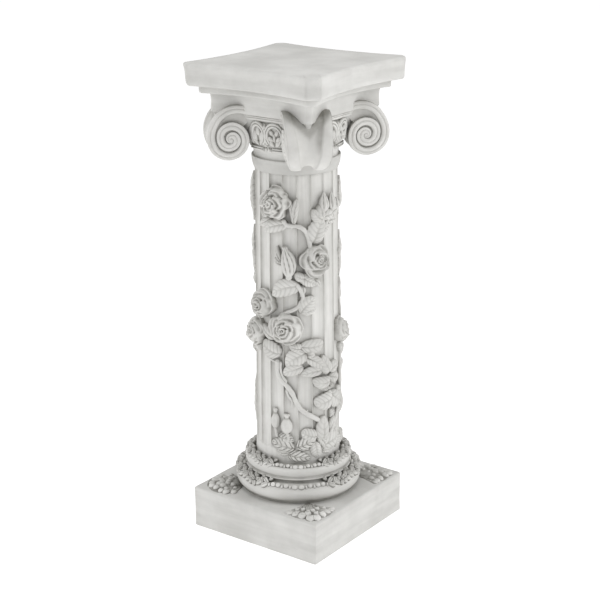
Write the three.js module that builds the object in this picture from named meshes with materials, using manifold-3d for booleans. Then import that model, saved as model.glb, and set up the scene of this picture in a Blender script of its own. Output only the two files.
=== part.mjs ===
// Column pedestal: a fluted Ionic column cast in one piece, wound with a climbing rose.
// Millimetres, +Z up. The origin is the centre of the underside of the plinth.
// Azimuth 0 points along -Y and azimuth 90 along +X.

import * as THREE from 'three';
import * as BufferGeometryUtils from 'three/addons/utils/BufferGeometryUtils.js';
import Module from 'manifold-3d';

const wasm = await Module();
wasm.setup();

// Driving dimensions

const HEIGHT = 800;
const PLINTH = { side: 256, height: 72.6, edge: 4, easing: 0.3, sink: 12 };

const BASE = {
  segments: 32,
  lowerTorus: { radius: 106.4, bulge: 12.4, bottom: 75, top: 101 },
  lowerRoll: { inner: 93.5, outer: 101.5, top: 107 },
  rollDrop: 2,
  scotia: { radius: 86.5, lip: 90, undercut: 2, overhang: 1 },
  upperTorus: { radius: 90, bulge: 11, bottom: 113, top: 131 },
  upperRoll: { inner: 77, outer: 86, top: 136.5 },
  footRadius: 70.4,
  torusSpan: 160,
};

const SHAFT = {
  bottom: 128,
  top: 630,
  bottomRadius: 71.4,
  topRadius: 67.8,
  flutes: 18,
  firstRidgeAzimuth: 36.6,
  ridgeShare: 0.1,
  fluteDepth: 4.2,
};

// Half a flute's width and its depth, as shares of the full ones, across a flute
const FLUTE_PROFILE = [[-1, 0], [-0.6, 0.84], [0.6, 0.84], [1, 0]];

// Height, width and depth of the flutes, as shares of the full ones, at each ring of the shaft
const FLUTE_RINGS = [[SHAFT.bottom, 1, 0], [154, 0.5, 0], [158, 0.85, 0.6], [167, 1, 1], [SHAFT.top, 1, 1]];

const CAPITAL = {
  segments: 32,
  collar: { bottom: 627, shoulder: 632, waist: 640, top: 648.5, fall: 1, radius: 72.2, shoulderRadius: 70.7 },
  neck: { radius: 69, top: 660.8 },
  bead: { height: 667, radius: 76.5, edgeRadius: 74.5, halfHeight: 3.2 },
  echinus: { bottom: 672, top: 711, bottomRadius: 77, topRadius: 82 },
  sideMoulding: { bottom: 711, top: 724, half: 82.5 },
};

// Each abacus layer: tip and mid-side distances from the centre, and the leg of the cut-off corner
const ABACUS = {
  body: { bottom: 721.5, top: 753, tip: 100, middle: 86, leg: 7.5, edge: 2.5 },
  fillet: { bottom: 751.5, top: 766, tip: 115.5, middle: 98.5, leg: 12, edge: 1.5 },
  slab: { bottom: 764, top: HEIGHT, tip: 133, middle: 119.5, leg: 17, edge: 3 },
  arcSteps: 7,
  topEasing: 0.6,
};

// The scroll radius is measured about the eye, and its angle runs from outward to downward to inward
const VOLUTE = {
  eyeDistance: 108,
  eyeHeight: 681,
  radii: [
    61, 54.5, 43.6, 38.7, 37.4, 35.6, 31.6, 29, 28.4, 28.6, 27, 23.6, 21.4, 18.8, 16.8, 15.4, 14, 12.6, 10.6,
  ],
  radiiStart: -135,
  radiiStep: 45,
  startAngle: -125,
  endAngle: 183.5,
  angleStep: 22,
  rootDistance: 55,
  rootHeight: 686,
  rootHalfWidth: 30,
  halfWidth: 35,
  widthRise: 2.5,
  widthFall: 8,
  saddleDepth: 7,
  rimShare: 0.7,
  channelDepth: 4.5,
  channelClearance: 9,
  bandShare: 0.68,
  channelStart: -80,
  channelTurns: 1.1,
  channelStep: 36,
};

const ORNAMENT = {
  arch: { spread: 12, halfWidth: 15, depth: 10, bottom: 673, top: 711 },
  cornerLeaf: {
    padDistance: 124, padHalfLength: 36, padHalfWidth: 24, padHeight: 8.5, ground: 73.6,
    lobes: 4, lobeHalfLength: 14, lobeHalfWidth: 8, lobeHeight: 10, lobeTurn: 0.9,
    lobeDistance: 147, lobeFallBack: 16, spread: 33,
  },
};

const FOLIAGE = {
  surface: 70,
  root: 9,
  leafOutline: [[0, 0.15], [0.42, 1], [1, 0.06]],
  leafRidge: 6,
  leafEdge: 3,
  stemRadius: 3.6,
  petals: 6,
  roseTiers: [[0.8, -9], [1, 5], [0.42, 17]],
  budAspect: 1.2,
  budRoot: 3,
  budSink: 1,
};

// Blooms, buds and hips on the shaft: azimuth, height above the ground and size
const ROSES = [
  { azimuth: 7.8, height: 583, radius: 27.5 },
  { azimuth: 61.5, height: 486, radius: 26 },
  { azimuth: -13.6, height: 409, radius: 25 },
  { azimuth: 21.2, height: 373, radius: 28 },
  { azimuth: -28, height: 358, radius: 23 },
  { azimuth: -56, height: 346, radius: 21 },
  { azimuth: 117, height: 352, radius: 23 },
  { azimuth: 175, height: 540, radius: 24 },
  { azimuth: 210, height: 330, radius: 24 },
  { azimuth: 262, height: 455, radius: 24 },
];
const BUDS = [
  { azimuth: 23, height: 482, length: 60, radius: 12 },
  { azimuth: 73.7, height: 579, length: 38, radius: 8.6 },
  { azimuth: 87, height: 578, length: 36, radius: 8 },
  { azimuth: 4.5, height: 209, length: 40, radius: 7 },
  { azimuth: 21, height: 202, length: 38, radius: 9.4 },
];

// Leaves: azimuth and height of the root, azimuth and height of the tip, and the half width
const LEAVES = [
  [25, 548, -10, 532, 10],
  [58, 514, 71, 556, 14],
  [70, 556, 93, 560, 9],
  [33, 547, 37, 589, 6],
  [40, 445, 2.5, 427, 13],
  [41, 398, 60, 425, 12],
  [14, 326, -15, 344, 14],
  [40, 341, 73, 343, 11],
  [49, 330, 21, 308, 13],
  [85, 287, 71, 321, 10],
  [86, 276, 56, 281, 10],
  [90, 250, 58, 240, 14],
  [72, 168, 73, 214, 12],
  [70, 160, 106, 168, 14],
  [32, 160, -1, 169, 11],
  [34, 161, 61, 176, 10],
  [22, 149, 54, 141, 9],
  [-54, 576, -54, 616, 10],
  [-52, 486, -55, 523, 10],
  [-55, 226, -58, 262, 9],
  [124, 478, 127, 512, 9],
  [118, 330, 126, 300, 10],
  [122, 206, 126, 242, 9],
  [190, 430, 168, 446, 11],
  [226, 214, 204, 204, 11],
  [240, 180, 266, 190, 11],
];

// Stems, each through a few azimuth and height pairs
const STEMS = [
  [[18, 554], [37, 545], [53, 517], [55.5, 500]],
  [[35, 450], [44, 427], [39, 411], [20, 398]],
  [[9, 338], [10, 293], [29, 259], [45, 226], [68, 206]],
  [[84, 178], [108, 224], [122, 330]],
  [[240, 172], [208, 262], [210, 320]],
];

const STONE = new THREE.MeshStandardMaterial({ color: 0xd2d0ca, roughness: 0.85, metalness: 0 });

// Geometry helpers

const WELD_DISTANCE = 1e-3;

const radians = THREE.MathUtils.degToRad;

/** Joins the shared vertices of a closed geometry and makes it a solid with its faces outward. */
function solid(geometry) {
  const bare = geometry.clone();
  bare.deleteAttribute('normal');
  bare.deleteAttribute('uv');
  const merged = BufferGeometryUtils.mergeVertices(bare, WELD_DISTANCE);
  const position = merged.getAttribute('position').array;
  const corners = merged.getIndex().array;
  const triangles = [];
  for (let i = 0; i < corners.length; i += 3) {
    const [a, b, c] = [corners[i], corners[i + 1], corners[i + 2]];
    if (a !== b && b !== c && c !== a) triangles.push(a, b, c);
  }
  if (signedVolume(position, triangles) < 0) triangles.reverse();
  return new wasm.Manifold(new wasm.Mesh({
    numProp: 3,
    vertProperties: Float32Array.from(position),
    triVerts: Uint32Array.from(triangles),
  }));
}

/** Six times the volume inside a closed set of triangles, negative when they face inward. */
function signedVolume(position, triangles) {
  const point = (i) => new THREE.Vector3().fromArray(position, 3 * i);
  let sum = 0;
  for (let i = 0; i < triangles.length; i += 3) {
    const a = point(triangles[i]);
    sum += a.dot(point(triangles[i + 1]).cross(point(triangles[i + 2])));
  }
  return sum;
}

/** A closed skin over rings with equal numbers of points, capped at both ends. */
function loft(rings) {
  const count = rings[0].length;
  const centre = (ring) => ring.reduce((sum, p) => sum.add(p), new THREE.Vector3()).divideScalar(count);
  const points = [...rings.flat(), centre(rings[0]), centre(rings.at(-1))];
  const firstCap = points.length - 2;
  const lastCap = points.length - 1;
  const lastRing = (rings.length - 1) * count;
  const index = [];
  for (let j = 0; j < count; j += 1) {
    const next = (j + 1) % count;
    for (let i = 0; i + 1 < rings.length; i += 1) {
      const [a, b] = [i * count + j, i * count + next];
      index.push(a, b, b + count, a, b + count, a + count);
    }
    index.push(firstCap, next, j, lastCap, lastRing + j, lastRing + next);
  }
  const geometry = new THREE.BufferGeometry().setFromPoints(points);
  geometry.setIndex(index);
  return geometry;
}

/** A solid of revolution about +Z from a profile of radius and height pairs. */
function turned(profile, segments) {
  const geometry = new THREE.LatheGeometry(profile.map(([r, z]) => new THREE.Vector2(r, z)), segments);
  return solid(geometry.rotateX(Math.PI / 2));
}

/** Points of a bulging torus profile between two heights. */
function torusProfile({ radius, bulge, bottom, top }, steps) {
  const points = [];
  for (let i = 0; i <= steps; i += 1) {
    const angle = radians(BASE.torusSpan * (i / steps - 0.5));
    const height = (bottom + top) / 2 + (Math.sin(angle) * (top - bottom)) / 2;
    points.push([radius - bulge + bulge * Math.cos(angle), height]);
  }
  return points;
}

/** A point on a cylinder about the axis, from its radius, azimuth in degrees and height. */
function around(radius, azimuth, height) {
  const angle = radians(azimuth);
  return new THREE.Vector3(radius * Math.sin(angle), -radius * Math.cos(angle), height);
}

function union(solids) {
  return solids.reduce((sum, next) => sum.add(next));
}

// Foot

/** Outline of a square with its corners rounded to an arc. */
function roundedSquare(half, corner, height) {
  const points = [];
  for (let quarter = 0; quarter < 4; quarter += 1) {
    for (let i = 0; i <= 2; i += 1) {
      const angle = ((quarter + i / 2) * Math.PI) / 2;
      const [sideX, sideY] = [[1, 1], [-1, 1], [-1, -1], [1, -1]][quarter];
      const x = sideX * (half - corner) + corner * Math.cos(angle);
      const y = sideY * (half - corner) + corner * Math.sin(angle);
      points.push(new THREE.Vector3(x, y, height));
    }
  }
  return points;
}

function plinth() {
  const { side, height, edge, easing } = PLINTH;
  const half = side / 2;
  return solid(loft([
    roundedSquare(half, edge, 0),
    roundedSquare(half, edge, height - edge),
    roundedSquare(half - edge * easing, edge, height - edge * easing),
    roundedSquare(half - edge, edge, height),
  ]));
}

function baseMouldings() {
  const { lowerTorus, lowerRoll, scotia, upperTorus, upperRoll } = BASE;
  const start = PLINTH.height - PLINTH.sink;
  const springRadius = lowerTorus.radius - lowerTorus.bulge;
  return turned([
    [0, start],
    [springRadius, start],
    ...torusProfile(lowerTorus, 4),
    [lowerRoll.outer, lowerRoll.top - BASE.rollDrop],
    [lowerRoll.inner, lowerRoll.top],
    [scotia.lip, lowerTorus.top + scotia.undercut],
    [scotia.radius, (lowerTorus.top + upperTorus.bottom) / 2],
    [scotia.lip - scotia.undercut, upperTorus.bottom - scotia.overhang],
    ...torusProfile(upperTorus, 4),
    [upperRoll.outer, upperRoll.top - BASE.rollDrop],
    [upperRoll.inner, upperRoll.top],
    [BASE.footRadius, upperTorus.top],
    [0, upperTorus.top],
  ], BASE.segments);
}

/** The fluted shaft: each flute is a hollow arc between two narrow ridges, with a rounded foot. */
function shaft() {
  const pitch = 360 / SHAFT.flutes;
  const half = (pitch * (1 - SHAFT.ridgeShare)) / 2;
  const rings = FLUTE_RINGS.map(([height, opening, depth]) => {
    const rise = (height - SHAFT.bottom) / (SHAFT.top - SHAFT.bottom);
    const radius = THREE.MathUtils.lerp(SHAFT.bottomRadius, SHAFT.topRadius, rise);
    const points = [];
    for (let flute = 0; flute < SHAFT.flutes; flute += 1) {
      const middle = SHAFT.firstRidgeAzimuth + (flute + 0.5) * pitch;
      for (const [side, share] of FLUTE_PROFILE) {
        const hollow = depth * share * SHAFT.fluteDepth;
        points.push(around(radius - hollow, middle + side * half * opening, height));
      }
    }
    return points;
  });
  return solid(loft(rings));
}

// Capital

function neckProfile() {
  const { collar, neck, bead, echinus, sideMoulding } = CAPITAL;
  return [
    [0, collar.bottom],
    [SHAFT.topRadius, collar.bottom],
    [collar.shoulderRadius, collar.shoulder],
    [collar.radius, collar.waist],
    [collar.radius, collar.top],
    [neck.radius, collar.top + collar.fall],
    [neck.radius, neck.top],
    [bead.edgeRadius, bead.height - bead.halfHeight],
    [bead.radius, bead.height],
    [bead.edgeRadius, bead.height + bead.halfHeight],
    [echinus.bottomRadius, echinus.bottom],
    [echinus.topRadius, echinus.top],
    [echinus.topRadius, sideMoulding.top],
    [0, sideMoulding.top],
  ];
}

function sideMoulding() {
  const { bottom, top, half } = CAPITAL.sideMoulding;
  const block = new THREE.BoxGeometry(2 * half, 2 * half, top - bottom);
  return solid(block.translate(0, 0, (bottom + top) / 2));
}

/** Outline of one abacus layer: four sides hollowed to an arc and four corners cut off flat. */
function abacusRing({ tip, middle, leg }, inset, height) {
  const corner = tip - inset;
  const hollow = middle - inset;
  const reach = tip - leg - inset * (Math.SQRT2 - 1);
  const points = [];
  for (let side = 0; side < 4; side += 1) {
    for (let i = 0; i <= ABACUS.arcSteps; i += 1) {
      const along = -1 + (2 * i) / ABACUS.arcSteps;
      const out = hollow + (corner - hollow) * along * along;
      const point = new THREE.Vector3(along * reach, -out, height);
      points.push(point.applyAxisAngle(new THREE.Vector3(0, 0, 1), (side * Math.PI) / 2));
    }
  }
  return points;
}

function abacusLayer(layer) {
  return solid(loft([
    abacusRing(layer, layer.edge, layer.bottom),
    abacusRing(layer, 0, layer.bottom + layer.edge),
    abacusRing(layer, 0, layer.top - layer.edge),
    abacusRing(layer, layer.edge * ABACUS.topEasing, layer.top),
  ]));
}

/** The scroll's radius at an angle, between the two nearest given ones. */
function scrollRadius(angle) {
  const place = (angle - VOLUTE.radiiStart) / VOLUTE.radiiStep;
  const before = THREE.MathUtils.clamp(Math.floor(place), 0, VOLUTE.radii.length - 2);
  return THREE.MathUtils.lerp(VOLUTE.radii[before], VOLUTE.radii[before + 1], place - before);
}

/** A point of the scroll: radius share and angle about the eye, and distance across the diagonal. */
function scrollPoint(radius, angle, across) {
  const turn = radians(angle);
  const distance = VOLUTE.eyeDistance + radius * Math.cos(turn);
  return new THREE.Vector3(distance, across, VOLUTE.eyeHeight - radius * Math.sin(turn));
}

/** One corner scroll, along +X: two rims with a hollow saddle between, and a channel cut in each face. */
function volute() {
  const stations = [-1, -VOLUTE.rimShare, 0, VOLUTE.rimShare, 1];
  const ring = (station) => {
    const inward = Math.max(0, 1 - Math.abs(station) / VOLUTE.rimShare);
    const hollow = VOLUTE.saddleDepth * Math.sin((inward * Math.PI) / 2);
    const points = [];
    for (let angle = VOLUTE.startAngle; angle <= VOLUTE.endAngle; angle += VOLUTE.angleStep) {
      const lift = -Math.sin(radians(THREE.MathUtils.clamp(angle, -90, 90)));
      const width = VOLUTE.halfWidth + lift * (lift > 0 ? VOLUTE.widthRise : VOLUTE.widthFall);
      points.push(scrollPoint(scrollRadius(angle) - hollow, angle, station * width));
    }
    const rootWidth = station * VOLUTE.rootHalfWidth;
    points.push(new THREE.Vector3(VOLUTE.rootDistance, rootWidth, VOLUTE.rootHeight));
    points.push(new THREE.Vector3(VOLUTE.rootDistance, rootWidth, points[0].z));
    return points;
  };
  let block = solid(loft(stations.map(ring)));
  for (const side of [-1, 1]) block = block.subtract(spiralChannel(side));
  return block;
}

/** The channel between the turns of one face of a scroll, as a solid to cut away. */
function spiralChannel(side) {
  const outer = [];
  const inner = [];
  const start = VOLUTE.channelStart;
  for (let angle = start; angle <= start + 360 * VOLUTE.channelTurns; angle += VOLUTE.channelStep) {
    outer.push([scrollRadius(angle) * VOLUTE.bandShare, angle]);
    inner.unshift([scrollRadius(angle + 360), angle]);
  }
  const line = [...outer, ...inner].map(([radius, angle]) => {
    const point = scrollPoint(radius, angle, 0);
    return new THREE.Vector2(point.x, point.z);
  });
  const depth = VOLUTE.channelDepth + VOLUTE.channelClearance;
  const geometry = new THREE.ExtrudeGeometry(new THREE.Shape(line), { depth, bevelEnabled: false });
  geometry.rotateX(Math.PI / 2);
  const floor = VOLUTE.halfWidth - VOLUTE.channelDepth;
  return solid(geometry.translate(0, side > 0 ? floor + depth : -floor, 0));
}

function volutes() {
  return [45, 135, 225, 315].map((angle) => volute().rotate([0, 0, angle]));
}

// Carved ornament

/** An eight-sided gem, stretched to a half length, half width and half height. */
function nugget(length, width, height) {
  return new THREE.OctahedronGeometry(1, 0).scale(length, width, height);
}

/** The two arched bosses on each side of the echinus. */
function echinusArches() {
  const { spread, halfWidth, depth, bottom, top } = ORNAMENT.arch;
  const drum = CAPITAL.echinus.bottomRadius;
  const parts = [];
  for (let side = 0; side < 4; side += 1) {
    for (const half of [-1, 1]) {
      const azimuth = side * 90 + half * spread;
      const boss = nugget(halfWidth, depth, (top - bottom) / 2).rotateZ(radians(azimuth));
      parts.push(solid(boss.translate(...around(drum, azimuth, (bottom + top) / 2))));
    }
  }
  return parts;
}

/** A leaf with curled lobes on the plinth, reaching out along each diagonal. */
function cornerLeaves() {
  const leaf = ORNAMENT.cornerLeaf;
  const parts = [];
  for (const azimuth of [45, 135, 225, 315]) {
    const place = (geometry, distance, across) => {
      geometry.translate(across, -distance, leaf.ground).rotateZ(radians(azimuth));
      parts.push(solid(geometry));
    };
    place(nugget(leaf.padHalfWidth, leaf.padHalfLength, leaf.padHeight), leaf.padDistance, 0);
    for (let i = 0; i < leaf.lobes; i += 1) {
      const turn = -1 + (2 * i) / (leaf.lobes - 1);
      const lobe = nugget(leaf.lobeHalfWidth, leaf.lobeHalfLength, leaf.lobeHeight);
      lobe.rotateZ(-turn * leaf.lobeTurn);
      place(lobe, leaf.lobeDistance - leaf.lobeFallBack * turn * turn, turn * leaf.spread);
    }
  }
  return parts;
}

// Climbing rose

function tube(path, radius, sides, steps) {
  const section = new THREE.Shape();
  for (let i = 0; i <= sides; i += 1) {
    const angle = (2 * Math.PI * i) / sides;
    const [x, y] = [radius * Math.cos(angle), radius * Math.sin(angle)];
    if (i === 0) section.moveTo(x, y);
    else section.lineTo(x, y);
  }
  const extrudePath = new THREE.CatmullRomCurve3(path);
  return solid(new THREE.ExtrudeGeometry(section, { steps, extrudePath, bevelEnabled: false }));
}

/** A point over the shaft, from a sideways step, an upward step and a height above the surface. */
function overShaft({ azimuth, height }, sideways, upward, proud) {
  const turn = THREE.MathUtils.radToDeg(sideways / FOLIAGE.surface);
  return around(FOLIAGE.surface + proud, azimuth + turn, height + upward);
}

/** A pointed leaf with a raised midrib over a keel that roots it in the shaft. */
function leaf([azimuth, height, tipAzimuth, tipHeight, halfWidth]) {
  const origin = { azimuth, height };
  const sideways = radians(tipAzimuth - azimuth) * FOLIAGE.surface;
  const upward = tipHeight - height;
  const length = Math.hypot(sideways, upward);
  const rings = FOLIAGE.leafOutline.map(([along, width]) => {
    const at = (side, proud) => {
      const across = (side * width * halfWidth) / length;
      return overShaft(origin, along * sideways + across * upward, along * upward - across * sideways, proud);
    };
    return [at(-1, FOLIAGE.leafEdge), at(0, FOLIAGE.leafRidge), at(1, FOLIAGE.leafEdge), at(0, -FOLIAGE.root)];
  });
  return solid(loft(rings));
}

/** A full bloom: an open rim of petals, stepping up to a tight heart. */
function rose(place) {
  const rings = FOLIAGE.roseTiers.map(([share, proud], tier) => {
    const points = [];
    for (let i = 0; i < FOLIAGE.petals; i += 1) {
      const angle = (2 * Math.PI * (i + tier / 2)) / FOLIAGE.petals;
      const radius = place.radius * share;
      points.push(overShaft(place, radius * Math.cos(angle), radius * Math.sin(angle), proud));
    }
    return points;
  });
  return solid(loft(rings));
}

/** A closed bud or a rose hip, an upright spindle half sunk in the shaft. */
function bud({ azimuth, height, length, radius }) {
  const geometry = nugget(radius * FOLIAGE.budAspect, radius + FOLIAGE.budRoot, length / 2);
  geometry.rotateZ(radians(azimuth));
  return solid(geometry.translate(...around(FOLIAGE.surface - FOLIAGE.budSink, azimuth, height)));
}

function climbingRose() {
  const stems = STEMS.map((route) => {
    const path = route.map(([azimuth, height]) => around(FOLIAGE.surface, azimuth, height));
    return tube(path, FOLIAGE.stemRadius, 4, 2 * (route.length - 1));
  });
  return [...stems, ...LEAVES.map(leaf), ...ROSES.map(rose), ...BUDS.map(bud)];
}

// The casting

const casting = union([
  plinth(),
  baseMouldings(),
  shaft(),
  turned(neckProfile(), CAPITAL.segments),
  sideMoulding(),
  ...volutes(),
  abacusLayer(ABACUS.body),
  abacusLayer(ABACUS.fillet),
  abacusLayer(ABACUS.slab),
  ...echinusArches(),
  ...cornerLeaves(),
  ...climbingRose(),
]);

const { vertProperties, triVerts } = casting.getMesh();
const surface = new THREE.BufferGeometry();
surface.setAttribute('position', new THREE.BufferAttribute(Float32Array.from(vertProperties), 3));
surface.setIndex(Array.from(triVerts));
surface.computeVertexNormals();

const pedestal = new THREE.Mesh(surface, STONE);
pedestal.name = 'pedestal';

const group = new THREE.Group();
group.add(pedestal);

export default group;
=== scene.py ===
"""The finished surface of a cast column pedestal, wound with a climbing rose.

Shapes are worked out in millimetres, +Z up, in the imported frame, and become metres in the mesh.
Azimuth 0 points along -Y and azimuth 90 along +X, as seen from above.
Every piece is a closed skin that stands for the one cast solid.
"""

import logging
import math
from dataclasses import dataclass, field
from enum import Enum

import bpy
import numpy as np
from mathutils import Matrix, Vector
from numpy.typing import NDArray


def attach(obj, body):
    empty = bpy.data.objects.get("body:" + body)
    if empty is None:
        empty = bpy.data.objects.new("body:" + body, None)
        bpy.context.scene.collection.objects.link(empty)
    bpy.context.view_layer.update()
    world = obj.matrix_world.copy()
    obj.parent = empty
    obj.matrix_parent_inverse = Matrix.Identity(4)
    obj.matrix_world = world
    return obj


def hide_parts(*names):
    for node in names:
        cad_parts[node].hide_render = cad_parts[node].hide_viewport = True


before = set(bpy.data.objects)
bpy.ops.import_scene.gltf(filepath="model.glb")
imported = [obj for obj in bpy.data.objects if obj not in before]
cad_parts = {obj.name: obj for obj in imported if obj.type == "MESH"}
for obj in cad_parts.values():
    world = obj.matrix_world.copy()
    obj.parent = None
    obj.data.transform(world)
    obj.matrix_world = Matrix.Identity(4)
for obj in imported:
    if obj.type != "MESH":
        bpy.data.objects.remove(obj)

LOG = logging.getLogger("pedestal")
Array = NDArray[np.float64]
Socket = bpy.types.NodeSocket
Colour = tuple[float, float, float, float]
MM = 0.001
NODE = "pedestal"
QUARTERS = (0, 90, 180, 270)
CORNERS = (45, 135, 225, 315)
MIRRORS = (1, -1)
UP = np.array([0.0, 0.0, 1.0])
LOBE_STEPS, LOBE_SIDES, LOBE_FULLNESS = 11, 12, 0.62
STEM_SIDES = 12
GROOVE_WIDTH = 0.3
# How dark the foot of a lobe is painted, as shade where it meets what carries it.
FOOT_SHADE = 0.9


# Surfaces

@dataclass
class Shell:
    """A closed skin in millimetres.

    Attributes:
        points: One row of x, y, z for each vertex.
        faces: Arrays of vertex numbers, one row for each face.
        hollow: How deep in the carving each vertex lies, from 0 to 1, which darkens it with painted
        shade and antiquing.
    """

    points: Array
    faces: list[NDArray[np.int64]]
    hollow: Array

    def outward(self) -> "Shell":
        """Turns the faces round if the volume they enclose is negative."""
        total = 0.0
        for group in self.faces:
            for third in range(2, group.shape[1]):
                a, b, c = (self.points[group[:, k]] for k in (0, third - 1, third))
                total += float(np.einsum("ij,ij->", a, np.cross(b, c)))
        if total < 0:
            self.faces = [group[:, ::-1] for group in self.faces]
        return self


def joined(shells: list[Shell]) -> Shell:
    """Puts several skins into one mesh, each still closed on its own."""
    starts = np.cumsum([0] + [len(shell.points) for shell in shells])
    faces = [group + start for shell, start in zip(shells, starts) for group in shell.faces]
    points = np.concatenate([shell.points for shell in shells])
    return Shell(points, faces, np.concatenate([shell.hollow for shell in shells]))


def skin(rings: Array, hollow: Array | None = None) -> Shell:
    """A closed skin through rings of equal counts, with each end closed by a fan to its centre.

    Args:
        rings: Rings along the first axis, their points along the second, in order around.
        hollow: The carving depth of each ring point, or None for a plain skin. Depth darkens a point
        with painted shade and antiquing.

    Returns:
        The closed skin, its faces outward.
    """
    count, around = rings.shape[:2]
    if hollow is None:
        hollow = np.zeros((count, around))
    index = np.arange(count * around).reshape(count, around)
    ahead = np.roll(index, -1, axis=1)
    quads = np.stack([index[:-1], ahead[:-1], ahead[1:], index[1:]], -1).reshape(-1, 4)
    first, last = count * around, count * around + 1
    starts = np.stack([np.full(around, first), ahead[0], index[0]], -1)
    ends = np.stack([np.full(around, last), index[-1], ahead[-1]], -1)
    points = np.concatenate([rings.reshape(-1, 3), rings[[0, -1]].mean(axis=1)])
    depth = np.concatenate([hollow.ravel(), hollow[[0, -1]].mean(axis=1)])
    return Shell(points, [quads, np.concatenate([starts, ends])], depth).outward()


def softened(rows: Array, times: int = 2, closed: bool = False) -> Array:
    """Rounds the corners of a line or a stack of rings.

    Each pass replaces a corner by two points, a quarter of the way along the stretches that meet in it.

    Args:
        rows: Points or rings along the first axis.
        times: How many passes to make.
        closed: Whether the last row meets the first.

    Returns:
        The softened rows. An open line keeps its two ends.
    """
    for _ in range(times):
        ahead = np.roll(rows, -1, axis=0) if closed else rows[1:]
        here = rows if closed else rows[:-1]
        near = 0.75 * here + 0.25 * ahead
        far = 0.25 * here + 0.75 * ahead
        pairs = np.stack([near, far], axis=1).reshape(-1, *rows.shape[1:])
        rows = pairs if closed else np.concatenate([rows[:1], pairs[1:-1], rows[-1:]])
    return rows


def smooth_at(points: Array, where: Array) -> Array:
    """A curve through given points, by cubic stretches whose slopes follow the neighbours.

    Args:
        points: The points or values that the curve passes through.
        where: Places along the curve, 0 at the first point and 1 more at each next one.

    Returns:
        The curve at each place.
    """
    padded = np.concatenate([2 * points[:1] - points[1:2], points, 2 * points[-1:] - points[-2:-1]])
    start = np.clip(where.astype(int), 0, len(points) - 2)
    t = (where - start).reshape(-1, *[1] * (points.ndim - 1))
    a, b, c, d = (padded[start + k] for k in range(4))
    cubic = (3 * b - 3 * c + d - a) * t ** 3 + (2 * a - 5 * b + 4 * c - d) * t ** 2
    return 0.5 * (2 * b + (c - a) * t + cubic)


def smooth_line(points: Array, count: int) -> Array:
    """A curve of a chosen number of points through given points."""
    return smooth_at(points, np.linspace(0, len(points) - 1, count))


def blurred(grid: Array, times: int) -> Array:
    """A grid whose values are averaged with their neighbours, its columns closing on themselves.

    Args:
        grid: Values, rows by columns.
        times: How many passes to make.

    Returns:
        The smoother grid.
    """
    for _ in range(times):
        tall = np.concatenate([grid[:1], grid, grid[-1:]])
        grid = 0.25 * tall[:-2] + 0.5 * grid + 0.25 * tall[2:]
        grid = 0.25 * np.roll(grid, 1, axis=1) + 0.5 * grid + 0.25 * np.roll(grid, -1, axis=1)
    return grid


def unit(value: Array | float) -> Array:
    """A value held between 0 and 1."""
    return np.clip(value, 0, 1)


def bell(distance: Array, width: float) -> Array:
    """A smooth bump: 1 at no distance, a third at the width and almost 0 at twice the width."""
    return np.exp(-(distance / width) ** 2)


def heading(azimuth: float) -> tuple[Array, Array]:
    """The level directions out of the column at an azimuth in degrees, and round it."""
    angle = math.radians(azimuth)
    sine, cosine = math.sin(angle), math.cos(angle)
    return np.array([sine, -cosine, 0.0]), np.array([cosine, sine, 0.0])


def on_column(radius: Array | float, azimuth: Array | float, height: Array | float) -> Array:
    """Points about the column's axis, from a radius, an azimuth in degrees and a height."""
    angle = np.radians(azimuth)
    return np.stack(np.broadcast_arrays(radius * np.sin(angle), -radius * np.cos(angle), height), -1)


def four_sides(side: Array) -> Array:
    """A ring with soft corners, from the points of its side toward -Y and three turned copies."""
    sides = [side @ Matrix.Rotation(-math.radians(turn), 3, "Z") for turn in QUARTERS]
    return softened(np.concatenate(sides), 2, closed=True)


def uneven(points: Array, amount: float, wavelength: float) -> Array:
    """A slow swell over the surface, as a hand-rubbed mould leaves it.

    Three crossed sine waves of the place, scaled to the amount, give the swell at each point.

    Args:
        points: The places, in millimetres.
        amount: The highest swell.
        wavelength: The length of one wave.

    Returns:
        The swell of each point, from 0 down to minus the amount.
    """
    x, y, z = (2 * np.pi * points[..., k] / wavelength for k in range(3))
    wave = np.sin(x + 1.3 * np.sin(z)) + np.sin(1.3 * y + 0.7 * x) + np.sin(0.9 * z + 1.1 * y)
    return amount * (wave / 6 - 0.5)


@dataclass(frozen=True)
class Place:
    """A point of the work with three axes of its own: along, across and out of the surface."""

    origin: Array
    along: Array
    across: Array
    out: Array

    def at(self, forward: Array | float, side: Array | float, proud: Array | float) -> Array:
        """Points from their steps along the three axes."""
        steps = np.stack(np.broadcast_arrays(forward, side, proud), -1)
        return self.origin + steps @ np.stack([self.along, self.across, self.out])

    def turned(self, degrees: float) -> "Place":
        """The same place with its first two axes turned about the outward one."""
        cosine, sine = math.cos(math.radians(degrees)), math.sin(math.radians(degrees))
        along = cosine * self.along + sine * self.across
        return Place(self.origin, along, cosine * self.across - sine * self.along, self.out)

    def moved(self, forward: float, side: float, proud: float = 0.0) -> "Place":
        """The same axes from another origin."""
        return Place(self.at(forward, side, proud), self.along, self.across, self.out)


def column_place(radius: float, azimuth: float, height: float, lean: float = 0.0) -> Place:
    """A place on the column, with its axes round the column, up it and out of it.

    Args:
        radius: Distance from the axis.
        azimuth: Direction from the axis, in degrees.
        height: Height above the ground.
        lean: How far the outward axis tips upward, in degrees.

    Returns:
        The place.
    """
    tip = math.radians(lean)
    radial, sideways = heading(azimuth)
    out = math.cos(tip) * radial + math.sin(tip) * UP
    return Place(on_column(radius, azimuth, height), sideways, np.cross(out, sideways), out)


def ground_place(radius: float, azimuth: float, height: float) -> Place:
    """A place on level ground, with its axes away from the column, round it and up."""
    out, sideways = heading(azimuth)
    return Place(on_column(radius, azimuth, height), out, sideways, UP)


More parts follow.
